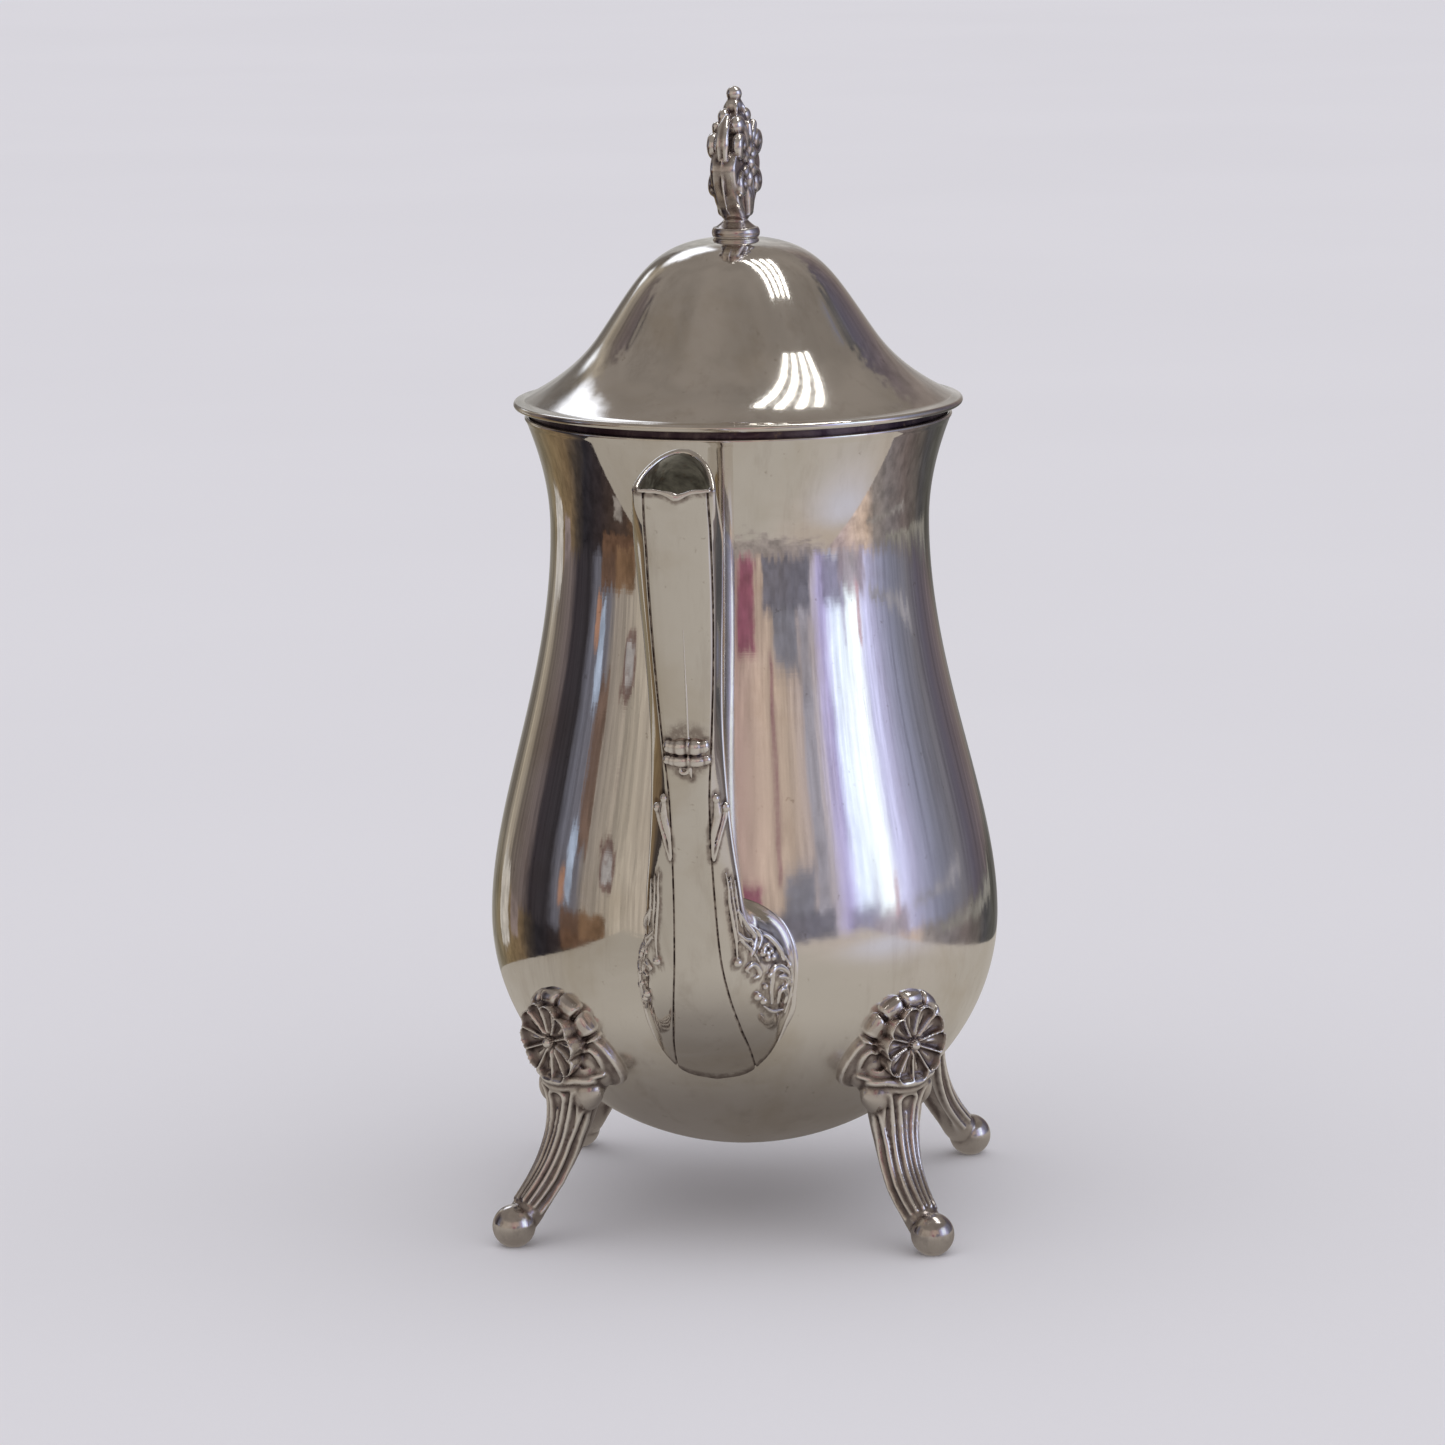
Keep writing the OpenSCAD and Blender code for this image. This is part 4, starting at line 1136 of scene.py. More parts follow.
def shell_parts():
    """Scalloped shell spread on the bowl behind the flower, and a curling leaf at each side."""
    turn = np.radians(np.linspace(-78, 78, 120))[:, None]
    share = np.linspace(0, 1, 34)[None, :]
    edge = 12.7 - 1.0 * np.sin(turn) ** 2
    from_crease = np.abs((turn / SHELL_PITCH) % 1 - 0.5) * SHELL_PITCH
    edge = edge - 0.35 * np.exp(-(from_crease * edge / 0.5) ** 2)
    reach = 4.5 + (edge - 4.5) * share
    lift = (-0.5 + 3.3 * np.sqrt(np.clip(1 - share ** 8, 0, 1))
            - 0.35 * (1 - 2 * from_crease / SHELL_PITCH) ** 2
            - 1.5 * np.exp(-(from_crease * reach / 0.42) ** 2) * smoothstep(reach, 7, 8.5))
    parts = [pad(reach * np.sin(turn), ROSETTE_Z + reach * np.cos(turn), lift)]
    outline = smooth_path([(4.5, 47.5), (8.8, 49.0), (11.8, 48.0), (13.4, 45.0), (13.9, 41.5),
                           (13.2, 38.4), (10.5, 36.8), (5.0, 36.6)], 60)
    out = np.linspace(0, 1, 30)[None, :]
    height = 3.3 - 2.8 * out ** 2.8 + 0.6 * np.exp(-((out - 0.92) / 0.045) ** 2) \
        - 1.2 * smoothstep(out, 0.94, 1.0)
    for side in (-1, 1):
        t = 5.0 + out * (outline[:, :1] - 5.0)
        z = 41.5 + out * (outline[:, 1:] - 41.5)
        parts.append(pad(side * t, z, height + 0 * t))
        rib = np.array([on_bowl(side * a, b, c) for a, b, c in smooth_path(
            [(7.6, 46.0, 2.9), (9.2, 46.4, 2.5), (10.4, 44.8, 2.3), (10.3, 42.0, 2.4), (9.2, 38.8, 2.6)],
            30)])
        parts.append(tube(rib, [0.4, 0.75, 0.7, 0.4], 10))
        for t, z, radii in ((6.5, 41.5, (2.9, 3.6, 4.6)), (8.4, 40.4, (2.7, 3.0, 3.6))):
            parts.append(ball(on_bowl(side * t, z, 1.6), radii, facing(side * t, z), cols=28, rows=18))
    return parts


LEG = leg_loft()
SHELL_PITCH = math.radians(29)
# How far the top and the toe of a casting are turned out of true on the pot, in degrees
FOOT_TWIST = {"front_left": (3.4, 0.0), "front_right": (2.6, 0.8), "back_left": (0, 0),
              "back_right": (0, 0)}


def make_feet():
    petals = [moved(turned(turned(p, 90, "Y"), ROSETTE_TILT, "Y"), (ROSETTE_FRONT + 0.3, 0, ROSETTE_Z))
              for p in (turned(q, 18) for q in flower())]
    parts = leg_parts() + ledge_parts() + petals + shell_parts()
    mesh = fused("foot", parts, 0.28, 2, 0.26)
    count = len(mesh.vertices)
    points = np.zeros(count * 3)
    mesh.vertices.foreach_get("co", points)
    points = pressed_to_body(points.reshape(-1, 3) / MM)
    points[:, 2] = np.maximum(points[:, 2], 0)
    mesh.vertices.foreach_set("co", (points * MM).ravel())
    mesh.update()
    for name, angle in FOOT_ANGLES.items():
        top, toe = FOOT_TWIST[name]
        a = np.radians(angle + toe + (top - toe) * smoothstep(points[:, 2], 8, 38))
        x, y = points[:, 0] * np.cos(a) - points[:, 1] * np.sin(a), \
            points[:, 0] * np.sin(a) + points[:, 1] * np.cos(a)
        own = mesh.copy()
        own.name = "foot_" + name
        own.vertices.foreach_set("co", (np.stack([x, y, points[:, 2]], 1) * MM).ravel())
        own.update()
        piece("foot." + name, own, POT, [CAST], ["foot_" + name], weld=False)


# ------------------------------------------------------------------ handle and its joints

UPPER_SEAT, UPPER_RISE, UPPER_LEN = (43.4, 166.0), 25.0, 10.0
LOWER_SEAT, LOWER_RISE, LOWER_LEN = (57.0, 77.0), 15.0, 8.0
DISC_T, DISC_R = 2.0, 6.8
HANDLE_REACH, HALF_W, HALF_T = 101.2, 5.4, 5.2


def along(rise):
    return np.array([math.cos(math.radians(rise)), math.sin(math.radians(rise))])


def at_seat(part, seat, rise):
    """Puts a part whose axis is +Z on a handle joint, +Z pointing away from the body."""
    points, faces = turned(part, rise - 90, "X")
    return points + np.array([0, seat[0], seat[1]]), faces


UPPER_END = np.array(UPPER_SEAT) + (UPPER_LEN + DISC_T) * along(UPPER_RISE)
LOWER_END = np.array(LOWER_SEAT) + (LOWER_LEN + DISC_T) * along(LOWER_RISE)


def socket_outline(length):
    """(r, z) of a ferrule: tapered, reeded at its foot, with a bead at its mouth."""
    z = np.linspace(-4, length - 2.0, 40)
    r = 9.2 + (6.2 - 9.2) * (z + 4) / (length + 4)
    for k in (3.6, 5.0):
        r = r + 0.32 * np.exp(-((z - k) / 0.42) ** 2)
    bead = arc([6.15, length - 0.85], 0.82, -85, 90, 12)
    return np.vstack([np.stack([r, z], 1), bead, [[5.9, length], [3.8, length]]])


def make_handle_joints():
    for name, seat, rise, length in (("upper", UPPER_SEAT, UPPER_RISE, UPPER_LEN),
                                     ("lower", LOWER_SEAT, LOWER_RISE, LOWER_LEN)):
        outline = socket_outline(length)
        points, _ = lathe(outline, 96)
        points, _ = at_seat((points, None), seat, rise)
        rings = trimmed_columns(points.reshape(len(outline), 96, 3))
        skin, faces = loft(rings)
        skin[-2] = pressed_to_body(skin[-2:-1])[0]
        mesh = new_mesh("socket", skin, faces)
        mark_cavities(mesh, 0.12, 8)
        piece("handle_socket." + name, mesh, POT, [CAST],
              ["handle_socket_" + name], weld=False)
        disc = np.vstack([[[0, length]], arc([DISC_R - 0.5, length + 0.5], 0.5, -90, 0, 7),
                          arc([DISC_R - 0.5, length + DISC_T - 0.5], 0.5, 0, 90, 7),
                          [[0, length + DISC_T]]])
        piece("insulator." + name, at_seat(lathe(disc, 96), seat, rise), POT,
              [IVORY], ["insulator_" + name])
    pins = []
    for seat, rise, length in ((UPPER_SEAT, UPPER_RISE, UPPER_LEN), (LOWER_SEAT, LOWER_RISE, LOWER_LEN)):
        for step in (length - 3, length + DISC_T + 3):
            y, z = np.array(seat) + step * along(rise)
            pins.append(tube([[-6.1, y, z], [-3, y, z], [3, y, z], [6.1, y, z]], 0.8, 16))
    piece("handle_pins_all", joined(pins), POT, [CAST], ["handle_pins"])


def oval_loft(path, half_w, half_t, cols=48, crest=0.0):
    """Loft of ovals along a (y, z) path; crest raises a rib along its outer side."""
    path = np.array(path, float)
    ahead = np.gradient(path, axis=0)
    ahead /= np.linalg.norm(ahead, axis=1)[:, None]
    out = np.stack([-ahead[:, 1], ahead[:, 0]], 1)
    turn = np.linspace(0, 2 * math.pi, cols, endpoint=False)
    rib = 1 + crest * np.exp(-((1 - np.cos(turn)) / 0.06))
    rings = []
    for p, n, w, t in zip(path, out, np.broadcast_to(half_w, len(path)),
                          np.broadcast_to(half_t, len(path))):
        rings.append(np.stack([w * np.sin(turn), p[0] + n[0] * t * np.cos(turn) * rib,
                               p[1] + n[1] * t * np.cos(turn) * rib], 1))
    return loft(rings)


def make_handle():
    back_y, back_z = HANDLE_REACH - HALF_T, 146.0
    upper = bezier([UPPER_END, UPPER_END + 26 * along(UPPER_RISE), (back_y, back_z + 30),
                    (back_y, back_z)], 60)
    lower = bezier([(back_y, back_z), (back_y, back_z - 28), LOWER_END + 20 * along(LOWER_RISE),
                    LOWER_END], 60)
    path = np.vstack([[UPPER_END], upper, lower])
    share = np.linspace(0, 1, len(path))
    swell = np.abs(2 * share - 1) ** 6
    width = HALF_W + (6.2 - HALF_W) * swell
    thick = HALF_T + (6.2 - HALF_T) * swell
    parts = [oval_loft(path, width, thick)]
    for position in (0.05, 0.085, 0.915, 0.95):
        at = int(position * (len(path) - 1))
        ahead = path[at + 1] - path[at - 1]
        ahead /= np.linalg.norm(ahead)
        ring = [np.array([(width[at] + 0.2) * math.sin(a),
                          path[at][0] - ahead[1] * (thick[at] + 0.2) * math.cos(a),
                          path[at][1] + ahead[0] * (thick[at] + 0.2) * math.cos(a)])
                for a in np.linspace(0, 2 * math.pi, 49)]
        parts.append(tube(ring, 0.75, 10))
    centre, share = np.array([86.5, 78.0]), np.linspace(0, 1, 60)
    angle, r = np.radians(105 - 300 * share), 9.5 - 6.0 * share
    curl = centre + np.stack([r * np.cos(angle), r * np.sin(angle)], 1)
    parts.append(oval_loft(curl, 5.0 - 1.8 * share, 3.8 - 1.6 * share, 36))
    parts.append(ball((0, *curl[-1]), (4.4, 2.9, 2.9), cols=24, rows=14))
    parts += acanthus(path, width, thick)
    parts += thumb_leaf()
    mesh = fused("handle", parts, 0.42, 3, 0.16)
    piece("scroll_handle", mesh, POT, [CAST], ["handle"], weld=False)


def acanthus(path, width, thick):
    """Ribs of a leaf that wraps the handle's back, one over each bend."""
    ahead = np.gradient(path, axis=0)
    ahead /= np.linalg.norm(ahead, axis=1)[:, None]
    out = np.stack([-ahead[:, 1], ahead[:, 0]], 1)
    parts = []
    for start, end in ((0.24, 0.50), (0.78, 0.56)):
        for spread_, r in ((0, 0.95), (24, 0.8), (46, 0.75), (66, 0.65), (-24, 0.8), (-46, 0.75),
                           (-66, 0.65)):
            reach = start + (end - start) * (1 - abs(spread_) / 130)
            share = np.linspace(start, reach, 30)
            at = share * (len(path) - 1)
            turn = np.radians(spread_ * np.sin(np.linspace(0.12, 1, 30) * math.pi / 2) ** 0.7)
            row = [np.interp(at, np.arange(len(path)), v)
                   for v in (path[:, 0], path[:, 1], out[:, 0], out[:, 1], width, thick)]
            line = np.stack([row[4] * np.sin(turn), row[0] + row[2] * row[5] * np.cos(turn),
                             row[1] + row[3] * row[5] * np.cos(turn)], 1)
            parts.append(tube(line, [0.5 * r, r, r, 0.6 * r], 10))
    return parts


def thumb_leaf():
    """Fluted leaf for the thumb, rising from the top of the handle."""
    path = np.vstack([[[66, 175.5]], bezier([[66, 175.5], [76, 186], [82, 182], [90, 189]], 40)])
    share = np.linspace(0, 1, len(path))
    width = 3.0 + 3.2 * np.sin(math.radians(150) * share)
    thick = 2.4 - 1.2 * share
    parts = [oval_loft(path, width, thick, 36)]
    ahead = np.gradient(path, axis=0)
    ahead /= np.linalg.norm(ahead, axis=1)[:, None]
    for lane in (-0.72, -0.38, 0, 0.38, 0.72):
        lift = thick * math.sqrt(1 - lane * lane)
        line = np.stack([lane * width, path[:, 0] - ahead[:, 1] * lift, path[:, 1] + ahead[:, 0] * lift], 1)
        parts.append(tube(line[6:], [0.35, 0.6, 0.55, 0.35], 8))
    return parts


# ------------------------------------------------------------------ finial

FINIAL_TURN = -8.0            # the casting is screwed on a little short of straight ahead


def finial_plate():
    """Body of the casting: rounded slab whose outline is lobed above and tapers below."""
    a = np.linspace(0, 2 * math.pi, 160, endpoint=False)
    up = np.sin(a)
    reach_y = 10.7 + 0.4 * np.cos(6 * a)
    y = reach_y * np.cos(a) * (1 - 0.30 * np.clip(-up, 0, 1) ** 1.5)
    z = 238.2 + np.where(up > 0, 9.6, 11.4) * up + 0.4 * np.cos(6 * a)
    rings = []
    for x, grow in ((-3.0, 0.90), (-2.85, 0.96), (-2.1, 1.0), (0, 1.015), (2.1, 1.0), (2.85, 0.96),
                    (3.0, 0.90)):
        rings.append(np.stack([x + 0 * a, y * grow, 238.2 + (z - 238.2) * grow], 1))
    return loft(rings)


def finial_face(side):
    """Full scrolls round a small flower in relief on one broad face."""
    x = 2.95 * side
    parts = [ball((x, 0, 239.6), (1.7, 1.8, 1.8), cols=18, rows=12)]
    for k in range(6):
        a = math.radians(60 * k + 30)
        turn = np.array(Matrix.Rotation(a, 3, "X"))
        spot = (x, 3.5 * math.cos(a), 239.6 + 3.5 * math.sin(a))
        parts.append(ball(spot, (1.3, 2.1, 1.5), turn, cols=16, rows=10))
    curls = [((6.3, 244.0), 2.7, 0.8, 200, 440), ((-6.3, 244.0), 2.7, 0.8, -20, -440),
             ((5.9, 235.2), 2.5, 0.8, 130, -420), ((-5.9, 235.2), 2.5, 0.8, 50, 420)]
    for centre, r0, r1, start, sweep in curls:
        flat = spiral(centre, r0, r1, start, sweep, 36)
        path = np.stack([x + 0 * flat[:, 0], flat[:, 0], flat[:, 1]], 1)
        parts.append(tube(path, [0.7, 1.25, 1.3, 0.9], 12))
        parts.append(ball((x + 0.3 * side, *centre), 1.3, cols=14, rows=10))
    for y0, y1 in ((1.7, 4.4), (-1.7, -4.4), (0.0, 0.0)):
        line = smooth_path([(x, y0 * 0.5, 228.5), (x, y0, 232.6), (x, (y0 + y1) / 2, 235.2)], 20)
        parts.append(tube(line, [1.0, 1.25, 0.7], 12))
        line = smooth_path([(x, y0 * 0.6, 243.4), (x, y1 * 0.7, 246.2), (x, y1, 248.0)], 20)
        parts.append(tube(line, [0.8, 1.35, 1.1], 12))
    return parts


def make_finial():
    foot_z = CROWN_Z + BUN_H
    parts = [finial_plate()] + finial_face(1) + finial_face(-1)
    neck = np.array([[0, foot_z - 0.15], [2.2, foot_z - 0.1], [2.0, foot_z + 0.6], [2.7, foot_z + 1.8],
                     [3.5, foot_z + 4.0], [3.3, foot_z + 7], [0, foot_z + 8]])
    parts.append(lathe(neck, 40))
    for edge in (-1, 1):
        for x in (-0.6, 0.6):
            line = smooth_path([(x * 1.0, edge * 10.4, 241.0), (x * 1.1, edge * 10.7, 244.5),
                                (x * 0.8, edge * 9.2, 247.8), (x * 0.3, edge * 6.2, 250.2)], 26)
            parts.append(tube(line, [0.6, 0.95, 0.9, 0.6], 12))
        seam = smooth_path([(0, edge * 11.0, 241), (0, edge * 10.7, 236), (0, edge * 8.0, 230.5),
                            (0, edge * 4.4, 227.8)], 30)
        parts.append(tube(seam, [0.2, 0.35, 0.3, 0.2], 8))
        parts.append(ball((edge * 1.9, -edge * 4.4, 248.2), (1.9, 2.8, 2.4), cols=18, rows=12))
        parts.append(ball((edge * 1.6, edge * 2.6, 250.0), (1.5, 2.0, 1.9), cols=18, rows=12))
    for z, radii in ((248.8, (2.6, 3.6, 3.0)), (252.2, (2.05, 2.6, 2.2)), (255.02, (1.78, 1.78, 1.78))):
        parts.append(ball((0, 0, z), radii, cols=26, rows=16))
    for k in range(6):
        a = math.radians(60 * k)
        line = smooth_path([(1.9 * math.cos(a), 2.4 * math.sin(a), 249.6),
                            (2.15 * math.cos(a), 2.7 * math.sin(a), 251.8),
                            (1.1 * math.cos(a), 1.3 * math.sin(a), 253.9)], 16)
        parts.append(tube(line, [0.3, 0.5, 0.3], 8))
    parts = [turned(part, FINIAL_TURN) for part in parts]
    mesh = fused("finial", parts, 0.22, 3, 0.18)
    piece("finial_casting", mesh, LID, [CAST], ["finial"], weld=False)


# ------------------------------------------------------------------ studio

CAMERA_AZIMUTH = 7.9          # degrees from the spout's front towards +X
CAMERA_ELEVATION, CAMERA_ROLL, CAMERA_DISTANCE = 10.05, -0.78, 1.426
CAMERA_AIM = (-0.0043, -0.0019, 0.1120)
CAMERA_LENS, CAMERA_SENSOR = 155.71, 36.0
PALE = (0.682, 0.674, 0.702)


def make_camera():
    az, el, roll = (math.radians(v) for v in (CAMERA_AZIMUTH, CAMERA_ELEVATION, CAMERA_ROLL))
    back = Vector((math.cos(el) * math.sin(az), -math.cos(el) * math.cos(az), math.sin(el)))
    flat_right = Vector((math.cos(az), math.sin(az), 0))
    flat_up = back.cross(flat_right)
    right = flat_right * math.cos(roll) + flat_up * math.sin(roll)
    up = back.cross(right)
    place = Matrix((right, up, back)).transposed().to_4x4()
    place.translation = Vector(CAMERA_AIM) + CAMERA_DISTANCE * back
    data = bpy.data.cameras.new("camera")
    data.lens, data.sensor_width = CAMERA_LENS, CAMERA_SENSOR
    data.clip_start, data.clip_end = 0.05, 200.0
    camera = in_scene("camera", data)
    camera.matrix_world = place
    bpy.context.scene.camera = camera


def reflected_light(name, size, power, colour):
    """Soft light that only the silver mirrors."""
    data = bpy.data.lights.new(name, "AREA")
    data.shape = "RECTANGLE"
    data.size, data.size_y = size
    data.energy = power
    data.color = colour
    light = in_scene(name, data)
    light.visible_camera = False
    light.visible_diffuse = False
    return light


def make_floor():
    material, tree, shader = new_material("plain_pale_floor")
    place = add(tree, "ShaderNodeTexCoord").outputs["Object"]
    mottle = noise(tree, place, 3, detail=3)
    colour = blend(tree, spread(tree, mottle, 0.3, 0.7), (0.802, 0.793, 0.822), (0.814, 0.805, 0.834))
    tree.links.new(colour, shader.inputs["Base Color"])
    tree.links.new(spread(tree, mottle, 0.3, 0.7, 0.85, 0.95), shader.inputs["Roughness"])
    shader.inputs["Specular IOR Level"].default_value = 0.0
    tree.links.new(bump(tree, noise(tree, place, 400, detail=2), 0.00005), shader.inputs["Normal"])
    reach = 30.0
    corners = [(-reach, -reach, 0), (reach, -reach, 0), (reach, reach, 0), (-reach, reach, 0)]
    mesh = new_mesh("floor", corners, [[0, 1, 2, 3]], scale=1.0)
    mesh.materials.append(material)
    floor = in_scene("floor", mesh)
    floor.visible_glossy = False


# The room as the silver mirrors it, by bearing to the right of the camera in degrees:
# its walls above the level of the table, and the floor and furniture below it. Not a design:
# WALLS, LOW and many of THINGS began as colours that a scratch script read in the photograph,
# and the places of THINGS and LAMPS were read there too. report.md says so, under the rules
# broken.
WALLS = [(-180, (0.60, 0.59, 0.57)), (-170, (0.42, 0.41, 0.40)), (-165, (0.17, 0.155, 0.145)),
         (-155, (0.155, 0.135, 0.115)), (-146, (0.42, 0.37, 0.30)), (-136, (0.15, 0.125, 0.11)),
         (-122, (0.16, 0.13, 0.13)), (-117, (0.045, 0.038, 0.045)), (-102, (0.038, 0.034, 0.040)),
         (-97, (0.16, 0.16, 0.20)), (-84, (0.16, 0.155, 0.185)), (-79, (0.30, 0.26, 0.23)),
         (-62, (0.42, 0.37, 0.31)), (-20, (0.44, 0.38, 0.33)), (-4, (0.42, 0.30, 0.28)),
         (9, (0.55, 0.43, 0.37)), (22, (0.55, 0.44, 0.37)), (33, (0.46, 0.39, 0.39)),
         (42, (0.50, 0.46, 0.52)), (50, (0.56, 0.52, 0.92)), (55, (1.00, 1.15, 1.50)),
         (71, (1.30, 1.45, 1.55)), (77, (0.85, 0.88, 1.30)), (83, (0.52, 0.52, 0.78)),
         (91, (0.31, 0.32, 0.46)), (101, (0.23, 0.24, 0.33)), (118, (0.19, 0.185, 0.22)),
         (130, (0.11, 0.10, 0.135)), (150, (0.16, 0.13, 0.14)), (162, (0.25, 0.21, 0.19)),
         (180, (0.58, 0.57, 0.56))]
LOW = [(-180, (0.62, 0.61, 0.60)), (-168, (0.30, 0.28, 0.25)), (-155, (0.20, 0.17, 0.12)),
       (-140, (0.21, 0.155, 0.09)), (-124, (0.185, 0.13, 0.078)), (-117, (0.07, 0.055, 0.045)),
       (-108, (0.026, 0.024, 0.030)), (-96, (0.036, 0.028, 0.030)), (-84, (0.060, 0.042, 0.036)),
       (-74, (0.075, 0.050, 0.040)), (-66, (0.16, 0.095, 0.055)), (-40, (0.30, 0.26, 0.23)),
       (20, (0.33, 0.29, 0.28)), (48, (0.38, 0.34, 0.36)), (62, (0.58, 0.48, 0.52)),
       (76, (0.68, 0.55, 0.50)), (84, (0.62, 0.49, 0.42)), (90, (0.30, 0.27, 0.27)),
       (102, (0.23, 0.21, 0.225)), (118, (0.17, 0.14, 0.14)), (132, (0.13, 0.115, 0.11)),
       (140, (0.085, 0.083, 0.090)), (156, (0.090, 0.088, 0.080)), (180, (0.25, 0.24, 0.235))]
# Things that stand out in it: bearings, heights in degrees, softness of the edge, colour
THINGS = [((-2, 8), (-7, 9), 1.4, (0.26, 0.085, 0.14)),
          ((13, 42), (-7, 3), 1.2, (0.155, 0.155, 0.205)),
          ((20, 33), (2, 11), 1.4, (0.20, 0.205, 0.26)),
          ((16.5, 18.5), (9, 30), 0.7, (0.26, 0.14, 0.16)),
          ((34, 40), (2, 30), 1.2, (0.36, 0.35, 0.42)),
          ((49, 64), (-7, 1), 1.2, (0.24, 0.22, 0.34)),
          ((60, 80), (-8, -1), 1.6, (0.36, 0.31, 0.38)),
          ((61, 63.5), (-3, 6), 0.7, (0.50, 0.50, 0.72)),
          ((72, 75), (-3, 5), 0.7, (0.62, 0.42, 0.50)),
          ((-87, -79), (7, 12), 0.5, (0.17, 0.11, 0.085)),
          ((-90, -87), (-1, 8), 0.5, (0.42, 0.50, 0.66)),     # stands for a person
          ((-94, -90), (-2, 3), 0.6, (0.40, 0.22, 0.15)),
          ((-71, -63.5), (4, 10), 0.4, (0.16, 0.10, 0.09)),
          ((-69.5, -65), (5.3, 8.7), 0.4, (0.42, 0.40, 0.40)),
          ((-72, -66), (14, 30), 0.6, (0.17, 0.12, 0.12)),
          ((-92, -67), (-12, -2.5), 0.6, (0.13, 0.075, 0.050)),
          ((-81, -67), (-8, -1.5), 0.6, (0.19, 0.115, 0.070)),
          ((-84, -79), (-24, -17), 0.8, (0.30, 0.27, 0.25)),
          ((-147, -137), (-14, -5), 0.8, (0.62, 0.59, 0.56)),
          ((-134, -125), (-12, -6), 0.8, (0.26, 0.21, 0.21)),
          ((83, 118), (-2.2, -0.6), 0.6, (0.34, 0.33, 0.37)),
          ((100, 152), (-9.5, -7.6), 0.7, (0.28, 0.27, 0.25)),
          ((84, 120), (-16, -14.4), 0.8, (0.33, 0.31, 0.31)),
          ((116, 132), (28, 38), 1.5, (0.10, 0.095, 0.095))]
# Soft lamps behind the pot to the left, listed in the same way
LAMPS = [((-171, -149), (29, 43), 3.5, (1.65, 1.72, 1.90)),
         ((-156, -150), (14, 20), 2.0, (1.25, 1.30, 1.40))]
CEILING = (0.245, 0.215, 0.190)
TABLE_LEVEL, CEILING_LEVEL = -7.0, 33.0


def by_bearing(tree, around, stops, scale):
    """Colours round the room; a ramp holds at most 32 stops of up to 1, so they are scaled."""
    return ramp(tree, around, [((a + 180) / 360, tuple(scale * v for v in colour))
                               for a, colour in stops])


def inside(tree, value, low, high, soft):
    """1 where a value lies between two limits."""
    above = spread(tree, value, low - soft, low + soft)
    below = spread(tree, value, high - soft, high + soft, 1.0, 0.0)
    return maths(tree, "MULTIPLY", above, below)


def in_patch(tree, bearing, height, sides, levels, soft):
    """1 in a soft-edged rectangle of the room."""
    return maths(tree, "MULTIPLY", inside(tree, bearing, *sides, soft),
                 inside(tree, height, *levels, soft))


